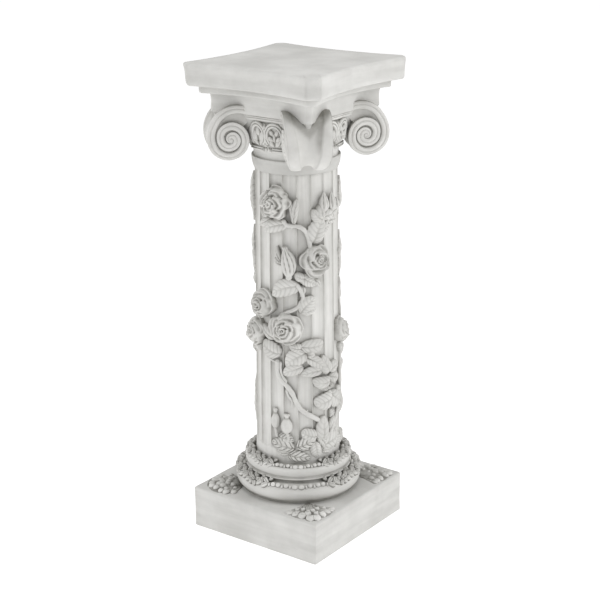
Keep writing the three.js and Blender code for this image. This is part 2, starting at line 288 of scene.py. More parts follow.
def lobe(place: Place, length: float, width: float, height: float,
         belly: float = 0.5, groove: float = 0.0, rise: float = 0.0) -> Shell:
    """A small carved lobe that lies along its place's first axis, half sunk in what carries it.

    Its half width and its height follow a power of the sine of the distance along it, bent so that
    the widest point lies at the belly. A groove runs along its back, and its foot is painted dark as
    shade where it sinks into what carries it.

    Args:
        place: Its root, with the axis it lies along.
        length: From root to tip.
        width: Across its widest part.
        height: Of its back over the place.
        belly: Where it is widest, as a share of its length.
        groove: Depth of the line along its back, as a share of its height.
        rise: How far its tip is lifted.

    Returns:
        The closed lobe.
    """
    share = np.linspace(0.02, 0.98, LOBE_STEPS)[:, None]
    bent = share ** (math.log(0.5) / math.log(belly))
    swell = np.sin(np.pi * bent) ** LOBE_FULLNESS
    turn = np.linspace(0, 2 * np.pi, LOBE_SIDES, endpoint=False)[None, :]
    side, back = np.cos(turn), np.sin(turn)
    cut = groove * bell(side, GROOVE_WIDTH) * (back > 0)
    proud = back * (1 - cut) * swell * height + rise * share ** 2
    rings = place.at(share * length, side * swell * width / 2, proud)
    return skin(rings, np.broadcast_to(cut + FOOT_SHADE * unit(1 - 2 * back), proud.shape))


def strip(middle: Array, side: Array, out: Array, half: float, proud: Array, sink: float,
          hollow: Array) -> Shell:
    """A raised strip along a line, with its two lower edges sunk in what carries it.

    Args:
        middle: The line on the surface.
        side: The sideways direction at each point of the line.
        out: The outward direction there.
        half: The half width.
        proud: Height over the surface, one row for each point of the line and one column for each
            even step across it.
        sink: How far the lower edges lie under the surface.
        hollow: The carving depth of the same grid, which darkens it with painted shade and antiquing.

    Returns:
        The closed strip.
    """
    steps = np.concatenate([np.linspace(-1, 1, proud.shape[1]), [0.8, -0.8]])
    edge = np.full((len(middle), 2), -sink)
    heights = np.concatenate([proud, edge], axis=1)
    depth = np.concatenate([hollow, np.ones_like(edge)], axis=1)
    sideways = side[:, None, :] * (half * steps)[None, :, None]
    return skin(middle[:, None, :] + sideways + out[:, None, :] * heights[..., None], depth)


def tube(path: Array, out: Array, radii: Array) -> Shell:
    """A round stem along a path, closed at both ends.

    Args:
        path: The middle line.
        out: A direction at each point that isn't along the path.
        radii: The radius at each point.

    Returns:
        The closed stem.
    """
    ahead = np.gradient(path, axis=0)
    ahead /= np.linalg.norm(ahead, axis=1, keepdims=True)
    side = np.cross(ahead, out)
    side /= np.linalg.norm(side, axis=1, keepdims=True)
    back = np.cross(side, ahead)
    turn = np.linspace(0, 2 * np.pi, STEM_SIDES, endpoint=False)[None, :, None]
    spread = side[:, None, :] * np.cos(turn) + back[:, None, :] * np.sin(turn)
    return skin(path[:, None, :] + spread * radii[:, None, None])


# Finishes

CLOUD_SCALE, PIT_SCALE, GRAIN_SCALE = 15.0, 160.0, 620.0
# Scale of the noise that breaks up the painted shade and antiquing in the recesses.
SHADE_AND_ANTIQUING_SCALE = 42.0
NEAR_REACH, FAR_REACH, AO_SAMPLES = 0.01, 0.05, 10
NEAR_WEIGHT, FAR_WEIGHT, HOLLOW_WEIGHT = 0.45, 0.62, 0.65


class Graph:
    """Adds nodes to one node tree and wires them as it goes."""

    def __init__(self, tree: bpy.types.NodeTree) -> None:
        """Keeps the tree and clears it."""
        self.tree = tree
        tree.nodes.clear()

    def add(self, kind: str, inputs: dict | None = None, **settings) -> bpy.types.Node:
        """Adds a node.

        Args:
            kind: The node's type.
            inputs: A value or another node's output for each input, by name or number.
            settings: The node's own settings.

        Returns:
            The new node.
        """
        node = self.tree.nodes.new(kind)
        for name, value in settings.items():
            setattr(node, name, value)
        for name, value in (inputs or {}).items():
            if isinstance(value, Socket):
                self.tree.links.new(value, node.inputs[name])
            else:
                node.inputs[name].default_value = value
        return node

    def math(self, operation: str, *values: float | Socket, clamp: bool = False) -> Socket:
        """The result of a Math node."""
        node = self.add("ShaderNodeMath", dict(enumerate(values)), operation=operation, use_clamp=clamp)
        return node.outputs[0]

    def weighted(self, first: Socket, weight: float, second: Socket, other: float) -> Socket:
        """The sum of two values, each times its weight."""
        return self.math("ADD", self.math("MULTIPLY", first, weight), self.math("MULTIPLY", second, other))

    def mix(self, share: Socket, first: Socket | Colour, second: Socket | Colour) -> Socket:
        """Two colours mixed by a share."""
        return self.add("ShaderNodeMix", {0: share, 6: first, 7: second}, data_type="RGBA").outputs[2]

    def span(self, value: Socket, low: float, high: float) -> Socket:
        """A value moved from the span low to high onto 0 to 1, with soft ends."""
        inputs = {0: value, 1: low, 2: high}
        return self.add("ShaderNodeMapRange", inputs, interpolation_type="SMOOTHSTEP").outputs[0]

    def noise(self, vector: Socket, scale: float, detail: float, roughness: float = 0.55) -> Socket:
        """The value of a noise texture."""
        inputs = {"Vector": vector, "Scale": scale, "Detail": detail, "Roughness": roughness}
        return self.add("ShaderNodeTexNoise", inputs).outputs[0]


def new_group(name: str, inputs: dict[str, str],
              outputs: list[str]) -> tuple[Graph, bpy.types.Node, bpy.types.Node]:
    """A shader node group with its sockets.

    Args:
        name: The group's name.
        inputs: The kind of each input by its name, Vector or Float.
        outputs: Name of each output, all plain values.

    Returns:
        The group's graph, its input node and its output node.
    """
    tree = bpy.data.node_groups.new(name, "ShaderNodeTree")
    for socket, kind in inputs.items():
        tree.interface.new_socket(socket, in_out="INPUT", socket_type="NodeSocket" + kind)
    for socket in outputs:
        tree.interface.new_socket(socket, in_out="OUTPUT", socket_type="NodeSocketFloat")
    graph = Graph(tree)
    return graph, graph.add("NodeGroupInput"), graph.add("NodeGroupOutput")


def stone_tone_group() -> bpy.types.NodeTree:
    """Clouds, brushed streaks, pits and fine grain of the cast stone.

    Tone is a mix of slow clouds and of noise stretched along the streaks, and Height one of fine
    grain and of pits.

    Returns:
        The node group.
    """
    sockets = {"Vector": "Vector", "Streaks": "Vector"}
    graph, source, result = new_group("stone tone", sockets, ["Tone", "Height"])
    place = source.outputs["Vector"]
    inputs = {0: place, 1: source.outputs["Streaks"]}
    stretched = graph.add("ShaderNodeVectorMath", inputs, operation="MULTIPLY")
    streaks = graph.span(graph.noise(stretched.outputs[0], 1.0, 3.0), 0.3, 0.7)
    clouds = graph.span(graph.noise(place, CLOUD_SCALE, 5.0, 0.62), 0.36, 0.66)
    grain = graph.noise(place, GRAIN_SCALE, 3.0, 0.6)
    pits = graph.span(graph.noise(place, PIT_SCALE, 5.0, 0.65), 0.3, 0.75)
    graph.tree.links.new(graph.weighted(clouds, 0.45, streaks, 0.55), result.inputs["Tone"])
    graph.tree.links.new(graph.weighted(grain, 0.35, pits, 0.65), result.inputs["Height"])
    return graph.tree


def shade_and_antiquing_group() -> bpy.types.NodeTree:
    """Where recesses are darkened, by painted shade and by an antiquing that stays in them.

    The mask grows with how closed in the surface is, near and far, as painted shade, and with the
    carving depth, and slow noise breaks it up.

    Returns:
        The node group.
    """
    sockets = {"Vector": "Vector", "Near": "Float", "Far": "Float", "Hollow": "Float", "Amount": "Float"}
    graph, source, result = new_group("shade and antiquing mask", sockets, ["Mask"])
    # Ambient occlusion, near and far, paints shade into recesses and between parts.
    near = graph.span(graph.math("SUBTRACT", 1.0, source.outputs["Near"]), 0.12, 1.0)
    far = graph.span(graph.math("SUBTRACT", 1.0, source.outputs["Far"]), 0.16, 1.0)
    closed = graph.weighted(near, NEAR_WEIGHT, far, FAR_WEIGHT)
    both = graph.math("ADD", closed, graph.math("MULTIPLY", source.outputs["Hollow"], HOLLOW_WEIGHT))
    patchy = graph.span(graph.noise(source.outputs["Vector"], SHADE_AND_ANTIQUING_SCALE, 5.0), 0.25, 0.7)
    broken = graph.math("MULTIPLY", both, graph.math("ADD", 0.6, graph.math("MULTIPLY", patchy, 0.5)))
    mask = graph.math("MULTIPLY", broken, source.outputs["Amount"], clamp=True)
    graph.tree.links.new(mask, result.inputs["Mask"])
    return graph.tree


class Streaks(Enum):
    """Which way the brushed streaks run, as stretches of the noise along X, Y and Z."""

    LEVEL = (7.0, 7.0, 60.0)
    UPRIGHT = (170.0, 170.0, 7.0)
    EVEN = (26.0, 26.0, 26.0)


@dataclass(frozen=True)
class CastStone:
    """Matt off-white cast stone, its recesses darkened by painted shade and by a grey-brown antiquing.

    Attributes:
        name: The material's name.
        streaks: Which way its brushed streaks run.
        shade_and_antiquing: How strongly painted shade and antiquing darken the recesses.
        pale: Colour of the rubbed surface.
        shade: Colour of its clouds and streaks.
        shade_and_antiquing_colour: Colour of the painted shade and antiquing in the recesses.
        roughness: Of the surface.
        shine: Strength of its reflection.
        bump: Depth of its grain and pits, in metres.
        bump_strength: How much of that depth shows.
    """

    name: str
    streaks: Streaks
    shade_and_antiquing: float
    pale: Colour = (0.76, 0.753, 0.728, 1.0)
    shade: Colour = (0.60, 0.593, 0.568, 1.0)
    shade_and_antiquing_colour: Colour = (0.27, 0.263, 0.238, 1.0)
    roughness: float = 0.86
    shine: float = 0.3
    bump: float = 0.0004
    bump_strength: float = 0.6

    def material(self, tone: bpy.types.NodeTree, shade_and_antiquing: bpy.types.NodeTree) -> bpy.types.Material:
        """Builds the material from the two shared groups."""
        made = bpy.data.materials.new(self.name)
        made.use_nodes = True
        graph = Graph(made.node_tree)
        place = graph.add("ShaderNodeTexCoord").outputs["Object"]
        inputs = {"Vector": place, "Streaks": self.streaks.value}
        stone = graph.add("ShaderNodeGroup", inputs, node_tree=tone)
        # Near and far ambient occlusion feed painted shade into the recess mask.
        near = graph.add("ShaderNodeAmbientOcclusion", {"Distance": NEAR_REACH}, samples=AO_SAMPLES)
        far = graph.add("ShaderNodeAmbientOcclusion", {"Distance": FAR_REACH}, samples=AO_SAMPLES)
        hollow = graph.add("ShaderNodeAttribute", attribute_name="hollow")
        inputs = {"Vector": place, "Near": near.outputs["AO"], "Far": far.outputs["AO"],
                  "Hollow": hollow.outputs["Fac"], "Amount": self.shade_and_antiquing}
        recess_darkening = graph.add("ShaderNodeGroup", inputs, node_tree=shade_and_antiquing)
        rubbed = graph.mix(stone.outputs["Tone"], self.shade, self.pale)
        # The mask turns the colour toward the dark recess colour, as painted shade and antiquing.
        colour = graph.mix(recess_darkening.outputs["Mask"], rubbed, self.shade_and_antiquing_colour)
        inputs = {"Height": stone.outputs["Height"], "Distance": self.bump, "Strength": self.bump_strength}
        bump = graph.add("ShaderNodeBump", inputs)
        inputs = {"Base Color": colour, "Roughness": self.roughness, "Normal": bump.outputs[0],
                  "Specular IOR Level": self.shine}
        shader = graph.add("ShaderNodeBsdfPrincipled", inputs)
        graph.add("ShaderNodeOutputMaterial", {"Surface": shader.outputs[0]})
        return made


class Finish(Enum):
    """The finishes of the casting's parts, all copies of one cast stone.

    Some are made paler or darker than the rest, as painted light and shade for how brightly that
    part is lit, and each darkens its recesses by its own amount.
    """

    PLAIN = CastStone("stone_level_brushed", Streaks.LEVEL, 0.45, pale=(0.735, 0.73, 0.708, 1.0),
                      shade=(0.59, 0.585, 0.563, 1.0))
    FOOT = CastStone("stone_foot", Streaks.LEVEL, 0.22, pale=(0.73, 0.725, 0.703, 1.0),
                     shade=(0.58, 0.575, 0.553, 1.0))
    ROLLS = CastStone("stone_rolls", Streaks.LEVEL, 0.7, shade=(0.635, 0.628, 0.603, 1.0))
    SHAFT = CastStone("stone_upright_brushed", Streaks.UPRIGHT, 0.68, pale=(0.80, 0.793, 0.768, 1.0),
                      shade=(0.65, 0.643, 0.618, 1.0))
    CARVED = CastStone("stone_carved", Streaks.EVEN, 0.85)
    GARLAND = CastStone("stone_garland", Streaks.EVEN, 1.4, pale=(0.84, 0.833, 0.808, 1.0),
                        shade_and_antiquing_colour=(0.2, 0.194, 0.173, 1.0))
    ROSE = CastStone("stone_rose", Streaks.EVEN, 1.0)


class Workshop:
    """Makes the materials once and turns skins into finished pieces."""

    def __init__(self) -> None:
        """Builds the shared node groups and every finish."""
        tone, shade_and_antiquing = stone_tone_group(), shade_and_antiquing_group()
        self.materials = {finish: finish.value.material(tone, shade_and_antiquing) for finish in Finish}

    def piece(self, name: str, shells: list[Shell], finish: Finish, sharp: float = 48.0) -> None:
        """Makes one piece of the casting, which rides on the casting's body.

        Args:
            name: The piece's name.
            shells: Its closed skins.
            finish: Its finish.
            sharp: Edges that turn more than this many degrees stay crisp.
        """
        whole = joined(shells)
        mesh = bpy.data.meshes.new(name)
        faces = [face for group in whole.faces for face in group.tolist()]
        mesh.from_pydata((whole.points * MM).tolist(), [], faces)
        mesh.polygons.foreach_set("use_smooth", np.ones(len(mesh.polygons), dtype=bool))
        mesh.set_sharp_from_angle(angle=math.radians(sharp))
        # Each vertex's hollow value sets how much painted shade and antiquing it gets.
        depth = mesh.attributes.new("hollow", "FLOAT", "POINT")
        depth.data.foreach_set("value", unit(whole.hollow).astype(np.float32))
        mesh.materials.append(self.materials[finish])
        piece = bpy.data.objects.new(name, mesh)
        bpy.context.scene.collection.objects.link(piece)
        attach(piece, "root")
        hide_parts(NODE)
        triangles = sum(len(group) * (group.shape[1] - 2) for group in whole.faces)
        LOG.info("%s: %d triangles", name, triangles)


# Foot

@dataclass
class Plinth:
    """The square block that the column stands on, with worn soft edges.

    Attributes:
        half: Half its width.
        height: Its height.
        corner: How far its upright edges are cut back before they are softened.
        edge: The same for its top edge.
        foot: Inset and height of the rings round its foot.
        insets: Insets of the rings on its top.
        swell: How uneven it is.
        swell_length: Length of one wave of that.
        top_swell: The share of it that its top takes.
    """

    half: float = 128.0
    height: float = 72.6
    corner: float = 5.0
    edge: float = 8.0
    foot: tuple[tuple[float, float], ...] = ((1.2, 0.0), (0.0, 1.2), (0.0, 3.0))
    insets: tuple[float, ...] = (14.0, 20.0, 28.0, 38.0, 50.0, 66.0, 90.0)
    swell: float = 0.6
    swell_length: float = 95.0
    top_swell: float = 0.6

    def outline(self, inset: float, height: float) -> Array:
        """A square ring with soft corners, at an inset and a height."""
        half = self.half - inset
        run = np.concatenate([[-half], np.linspace(-1, 1, 9) * (half - self.corner)])
        return four_sides(np.stack([run, np.full_like(run, -half), np.full_like(run, height)], -1))

    def build(self, workshop: Workshop) -> None:
        """A stack of square rings, from the underside up and over the soft top edge to the middle."""
        rows = [*self.foot, *((0.0, height) for height in np.linspace(9, self.height - self.edge, 9))]
        rows += [(inset, self.height) for inset in (0.0, self.edge, *self.insets)]
        rings = softened(np.stack([self.outline(*row) for row in rows]), 2)
        swell = uneven(rings, self.swell, self.swell_length) * unit(rings[..., 2] / 20)
        rings = rings + rings * [1, 1, 0] / self.half * swell[..., None]
        rings[..., 2] += swell * (rings[..., 2] > self.height - 4) * self.top_swell
        workshop.piece("plinth", [skin(rings)], Finish.FOOT)


@dataclass
class Turning:
    """A moulding turned about the column's axis.

    Attributes:
        name: The piece's name.
        finish: Its finish.
        profile: Radius, height and carving depth of its points, from low to high. Carving depth
        darkens a point with painted shade and antiquing.
        segments: How many steps go round.
    """

    name: str
    finish: Finish
    profile: tuple[tuple[float, float, float], ...]
    segments: int = 168

    def build(self, workshop: Workshop) -> None:
        """The softened profile, carried round the axis."""
        line = softened(np.array(self.profile), 2)
        azimuth = np.arange(self.segments) * 360 / self.segments
        rings = on_column(line[:, :1], azimuth[None, :], line[:, 1:2])
        workshop.piece(self.name, [skin(rings, np.repeat(line[:, 2:], self.segments, axis=1))], self.finish)


BASE_ROLLS = Turning("base_mouldings", Finish.ROLLS, (
    (92.0, 66.0, 1.0), (97.2, 69.0, 1.0), (97.6, 74.5, 0.9), (99.4, 77.2, 0.4), (103.4, 80.6, 0.1),
    (105.9, 85.0, 0.0), (106.5, 90.5, 0.0), (105.7, 95.8, 0.0), (103.9, 100.6, 0.3), (102.2, 102.6, 0.9),
    (99.8, 102.6, 0.8), (95.0, 104.8, 0.6), (90.8, 105.2, 0.5), (87.4, 105.4, 0.7), (86.4, 107.4, 0.6),
    (86.6, 109.4, 0.6), (89.4, 110.4, 0.2), (90.9, 111.6, 0.0), (90.9, 112.6, 0.1), (87.8, 113.6, 0.8),
    (86.9, 115.0, 0.8), (88.9, 117.6, 0.1), (90.1, 121.6, 0.0), (90.2, 126.2, 0.0), (89.5, 129.6, 0.0),
    (87.6, 131.4, 0.7), (84.6, 131.2, 1.0), (79.6, 133.2, 1.0), (74.0, 133.6, 1.0), (70.0, 133.6, 1.0),
    (69.0, 140.0, 0.5),
))

COLLAR_AND_BOWL = Turning("collar_and_bowl", Finish.PLAIN, (
    (60.0, 626.0, 1.0), (67.6, 626.5, 0.9), (68.6, 628.4, 0.75), (70.6, 634.0, 0.7), (71.9, 641.0, 0.65),
    (72.4, 646.6, 0.6), (72.2, 649.0, 0.2), (70.4, 649.4, 0.8), (69.0, 648.2, 1.0), (68.6, 651.0, 0.5),
    (68.8, 657.0, 0.1), (70.4, 661.4, 0.2), (73.4, 663.2, 0.5), (74.6, 665.0, 0.4), (74.8, 669.0, 0.5),
    (73.8, 671.0, 0.9), (75.4, 672.4, 0.8), (76.6, 680.0, 0.6), (78.8, 692.0, 0.6), (80.4, 704.0, 0.8),
    (80.8, 710.0, 1.0), (60.0, 712.0, 1.0),
))


class Bloom(Enum):
    """What a garland is strung with, and the width of each in millimetres."""

    LARGE_BEAD = 11.5
    BEAD = 9.4
    SMALL_BEAD = 4.8
    TWIN_LEAF = 11.0
    KNOT = 12.5
    ROSETTE = 14.0


DROPS = {
    Bloom.TWIN_LEAF: ((34, -7, -1.5, 18, 8.4, 7.2), (-38, -7, 2, 16, 8.0, 6.2), (88, 3.5, 2, 9, 6.0, 5.6),
                      (112, -4, 4.5, 10, 6.4, 5.4)),
    Bloom.KNOT: ((46, -9, -5, 18, 8.4, 7.8), (-44, -8, 5.5, 18, 8.0, 7.0), (100, 1, -7, 10, 7.2, 6.6),
                 (-78, 2.5, 8, 10, 6.8, 6.4), (70, -3, 5, 10, 6.4, 5.6)),
    Bloom.ROSETTE: (*((72 * k + 18, 0, 0, 11.4, 8.2, 6.4) for k in range(5)), (0, -3.2, 0, 6.4, 6.2, 9.0)),
}


@dataclass
class Garland:
    """A ring of beads, leaves and rosettes that lies along the top edge of a torus roll.

    Attributes:
        name: The piece's name.
        radius: Distance of its middle line from the axis.
        height: Height of that line.
        lean: How far it faces upward, in degrees.
        scale: Size of its items against their usual widths.
        middle: Azimuth of the pair of large beads.
        order: Its items, from the large beads on to the far side.
        bead_width: Width of a bead across the ring, and how much of its length is added.
        bead_height: The same for its height.
        bead_side: How far the middling beads lie up from the middle line, and how far the others do.
    """

    name: str
    radius: float
    height: float
    lean: float = 56.0
    scale: float = 1.0
    middle: float = 36.0
    order: tuple[Bloom, ...] = (
        Bloom.LARGE_BEAD, Bloom.SMALL_BEAD, Bloom.BEAD, Bloom.SMALL_BEAD, Bloom.BEAD, Bloom.BEAD,
        Bloom.SMALL_BEAD, Bloom.TWIN_LEAF, Bloom.KNOT, Bloom.ROSETTE, Bloom.TWIN_LEAF, Bloom.KNOT,
        Bloom.TWIN_LEAF, Bloom.ROSETTE, Bloom.KNOT, Bloom.TWIN_LEAF,
    )
    bead_width: tuple[float, float] = (5.2, 0.28)
    bead_height: tuple[float, float] = (3.4, 0.22)
    bead_side: tuple[float, float] = (0.4, -1.4)

    def item(self, bloom: Bloom, azimuth: float, mirror: int) -> list[Shell]:
        """The lobes of one item.

        A bead is one lobe. The other items have the grooved lobes that DROPS lists, each by its turn,
        the place of its root along and across the ring, its length, its width and its height.

        Args:
            bloom: What it is.
            azimuth: Where it lies, in degrees.
            mirror: 1, or -1 on the other half of the ring.

        Returns:
            Its closed lobes.
        """
        place = column_place(self.radius, azimuth, self.height, self.lean)
        size = self.scale
        if bloom not in DROPS:
            width = bloom.value * size
            sizes = (self.bead_width, self.bead_height)
            across, tall = ((base + added * bloom.value) * size for base, added in sizes)
            root = place.moved(-0.52 * width, self.bead_side[bloom is not Bloom.BEAD])
            return [lobe(root, 1.04 * width, across, tall)]
        made = []
        for turn, forward, side, length, wide, tall in DROPS[bloom]:
            root = place.moved(mirror * forward * size, side * size)
            root = root.turned(turn if mirror > 0 else 180 - turn)
            made.append(lobe(root, length * size, wide * size, tall * size, 0.58, 0.4))
        return made

    def build(self, workshop: Workshop) -> None:
        """Lays the order out to both sides of the two pairs of large beads."""
        shells: list[Shell] = []
        widths = np.array([bloom.value for bloom in self.order])
        centres = (np.cumsum(widths) - widths / 2) / widths.sum() * 90
        for half in (0, 180):
            for mirror in MIRRORS:
                for bloom, offset in zip(self.order, centres):
                    shells += self.item(bloom, self.middle + half + mirror * offset, mirror)
        workshop.piece(self.name, shells, Finish.GARLAND)


@dataclass
class CornerLeaf:
    """A leaf with curled lobes that reaches from the lower roll out to a corner of the plinth.

    Attributes:
        azimuth: The corner's direction.
        halves: For each side how far its lobes lie further out than usual, and their height
            against the usual.
        ground: Height of the plinth's top.
        limit: What a tip's distances from the axis and from the diagonal may add up to, so that it
            stays on the plinth.
        wobble: How far chance moves a tip outward and sideways, and how much it changes a lobe's
            width and height, as shares of them.
        pad: Distance from the axis of the low pad under the lobes, its length, width and height.
        fingers: For each lobe on one side the distance from the axis and from the diagonal of its root
            and of its tip, its width and its height.
    """

    azimuth: int
    halves: tuple[tuple[float, float], tuple[float, float]] = ((0.0, 1.0), (0.0, 1.0))
    ground: float = 72.2
    limit: float = 174.0
    wobble: tuple[float, float, float, float] = (2.8, 2.2, 0.24, 0.18)
    pad: tuple[float, float, float, float] = (106.0, 54.0, 72.0, 4.4)
    fingers: tuple[tuple[float, float, float, float, float, float], ...] = (
        (126, 3.0, 167, 6.6, 13.4, 8.0), (128, 9.0, 162, 19.2, 12.8, 7.8), (128, 14.0, 155, 30.0, 11.8, 6.8),
        (124, 18.0, 145, 38.6, 10.8, 5.8), (114, 16.0, 131, 40.0, 9.6, 5.2),
        (116, 2.4, 154, 5.6, 10.8, 9.8), (120, 7.0, 150, 17.0, 10.4, 9.0), (118, 11.0, 142, 27.4, 9.8, 7.4),
        (102, 2.0, 140, 4.8, 9.0, 9.4), (106, 5.0, 134, 14.6, 9.0, 8.4), (108, 10.0, 127, 25.0, 9.0, 6.4),
    )

    def finger(self, root: tuple[float, float], tip: tuple[float, float], width: float,
               height: float) -> Shell:
        """One lobe, thin at its root and curled into a ball at its tip.

        Its half width grows slowly along a stalk and closes as a round ball, and its height does the
        same. A groove runs along its back as far as the ball. The stalk and the foot are painted dark,
        as shade between the balls and under the lobe.

        Args:
            root: Distance of its root from the axis and from the diagonal.
            tip: The same for its tip.
            width: Across the ball.
            height: Of the ball over the plinth.

        Returns:
            The closed lobe.
        """
        reach = math.dist(root, tip)
        place = ground_place(root[0], self.azimuth, self.ground).moved(0, root[1])
        place = place.turned(math.degrees(math.atan2(tip[1] - root[1], tip[0] - root[0])))
        share = np.linspace(0, 1, 19)[:, None]
        half_ball = min(0.5, 0.62 * width / reach)
        ball = np.sqrt(unit(1 - ((share - 1 + half_ball) / half_ball) ** 2))
        stalk = (share < 1 - half_ball) * (0.6 + 0.26 * share)
        across = np.linspace(0, 2 * np.pi, 14, endpoint=False)[None, :]
        side, back = np.cos(across), np.sin(across)
        cut = 0.5 * bell(side, GROOVE_WIDTH) * unit((1 - 0.4 * half_ball - share) / 0.15) * (back > 0)
        proud = np.where(back > 0, back * (1 - cut) * np.maximum(0.62 * stalk, ball) * height, back * 2)
        rings = place.at(share * reach, side * np.maximum(stalk, ball) * width / 2, proud)
        # Painted shade on the stalk and at the foot.
        shade = 0.4 * (share < 1 - 1.5 * half_ball) + FOOT_SHADE * (back < 0.35)
        return skin(rings, np.broadcast_to(cut + shade, proud.shape))

    def build(self, workshop: Workshop) -> None:
        """A low pad, painted fully dark as shade under the lobes, with the lobes fanned out on both
        sides of a double midrib.
        """
        start, *size = self.pad
        shells = [lobe(ground_place(start, self.azimuth, self.ground - 1), *size, 0.6)]
        # The pad is painted fully dark, as shade under the lobes.
        shells[0].hollow[:] = 1.0
        draws = np.random.default_rng(self.azimuth).uniform(-1, 1, (len(self.fingers), 2, 4)) * self.wobble
        for (root_out, root_side, tip_out, tip_side, width, height), pair in zip(self.fingers, draws):
            for side, (shift, share), (further, aside, wider, taller) in zip(MIRRORS, self.halves, pair):
                tip_aside = side * tip_side + aside
                tip = (min(tip_out + shift + further, self.limit - abs(tip_aside)), tip_aside)
                root = (root_out + shift, side * root_side)
                shells.append(self.finger(root, tip, width * (1 + wider), share * height * (1 + taller)))
        workshop.piece(f"corner_leaf_{self.azimuth}", shells, Finish.GARLAND)


# Shaft

@dataclass
class FlutedShaft:
    """The tapering shaft with broad flutes that meet in narrow ridges and end rounded at the foot."""

    flutes: int = 18
    first_ridge: float = 36.6
    ridge_share: float = 0.05
    depth: float = 4.2
    fullness: float = 2.2
    bottom: float = 131.0
    top: float = 632.0
    bottom_radius: float = 71.4
    top_radius: float = 67.7
    flute_end: float = 155.0
    end_length: float = 13.0

    def radius(self, height: Array) -> Array:
        """Radius over the ridges, which shrinks evenly with height."""
        rise = (height - self.bottom) / (self.top - self.bottom)
        return self.bottom_radius + (self.top_radius - self.bottom_radius) * rise

    def build(self, workshop: Workshop) -> None:
        """Cuts every flute to a full curve with steep sides and an almost flat floor.

        Its depth falls off as a power of the distance from the middle line. Toward the foot the
        distance below the start of the rounded end counts in the same way. Both walls of each flute are
        painted darker as shade, far more on the side that azimuth starts from, standing in for light
        that falls from one side.
        """
        pitch = 360 / self.flutes
        cluster = np.linspace(-1, 1, 21)
        spread = np.sign(cluster) * (1 - (1 - np.abs(cluster)) ** 1.5)
        ridge = np.array([-0.8, -0.3, 0.3, 0.8]) * self.ridge_share / 2
        local = np.concatenate([spread * (1 - self.ridge_share) / 2, 0.5 + ridge])
        middles = np.arange(self.flutes)[:, None] + 0.5
        azimuth = (self.first_ridge + (middles + local[None, :]) * pitch).ravel()
        share = np.tile(np.concatenate([spread, [1, 1, -1, -1]]), self.flutes)
        start = self.flute_end + self.end_length
        ends = np.linspace(self.bottom, start + 2, 24)
        height = np.concatenate([ends, np.linspace(start + 6, self.top, 60)])[:, None]
        below = unit((start - height) / self.end_length)
        power = self.fullness
        inside = unit(1 - np.abs(share) ** power - below ** power)
        drop = self.depth * inside ** (1 / power)
        flare = 1.6 * np.exp(-(height - self.bottom) / 5)
        rings = on_column(self.radius(height) + flare - drop, azimuth[None, :], height)
        swell = uneven(rings, 0.5, 60.0)
        rings = rings * (1 + swell[..., None] / 70 * [1, 1, 0])
        # Painted shade on the flute walls, heavier on the side that azimuth starts from.
        beside = unit((np.abs(share) - 0.1) / 0.9) ** 2.4
        flute_wall_shade = np.where(share < 0, beside, 0.4 * beside ** 2)
        hollow = flute_wall_shade * unit((1 - below) / 0.25)
        workshop.piece("fluted_shaft", [skin(rings, hollow)], Finish.SHAFT, sharp=50)


# Capital

@dataclass
class BeadRoll:
    """Beads in pairs between long double reels, round the foot of the bowl.

    Attributes:
        radius: Distance of its middle line from the axis.
        height: Height of that line.
        half: Half its width.
        bead: Length of a bead.
        bead_at: Degrees from the middle of a side to a bead.
        spacer_at: The same to the narrow bead beside it.
        reel_from: The same to the near end of a reel.
        reel_to: The same to its far end.
    """

    radius: float = 74.6
    height: float = 667.0
    half: float = 3.3
    bead: float = 4.2
    bead_at: float = 2.3
    spacer_at: float = 5.4
    reel_from: float = 7.2
    reel_to: float = 33.0

    def reel(self, start: float, end: float) -> Shell:
        """A rod with two rounded lines along it, which are lower at its ends.

        Args:
            start: Azimuth of one end.
            end: Azimuth of the other.

        Returns:
            The closed rod.
        """
        azimuth = np.linspace(start, end, 26)
        across = np.linspace(-1, 1, 11)
        lines = 2.1 * np.sqrt(unit(1 - (2 * np.abs(across) - 1) ** 2)) ** 0.8 + 0.3
        ends = unit(np.minimum(azimuth - start, end - azimuth) / abs(end - start) * 26)
        proud = lines[None, :] * (0.55 + 0.45 * ends[:, None])
        side, groove = (np.tile(row, (len(azimuth), 1)) for row in (UP, bell(across, 0.22)))
        middle = on_column(self.radius, azimuth, self.height)
        return strip(middle, side, on_column(1.0, azimuth, 0.0), self.half, proud, 2.0, groove)

    def build(self, workshop: Workshop) -> None:
        """Two beads at the middle of each side, with a reel to either side of them."""
        shells = []
        for quarter in QUARTERS:
            for mirror in MIRRORS[::-1]:
                bead = column_place(self.radius, quarter + mirror * self.bead_at, self.height)
                shells.append(lobe(bead.moved(-self.bead / 2 - 0.3, 0), self.bead + 0.6, 2 * self.half, 2.9))
                ends = sorted((quarter + mirror * self.reel_from, quarter + mirror * self.reel_to))
                shells.append(self.reel(*ends))
                spacer = column_place(self.radius, quarter + mirror * self.spacer_at, self.height)
                shells.append(lobe(spacer.moved(-0.8, 0), 1.6, 2 * self.half + 0.6, 2.6))
        workshop.piece("bead_roll", shells, Finish.CARVED)


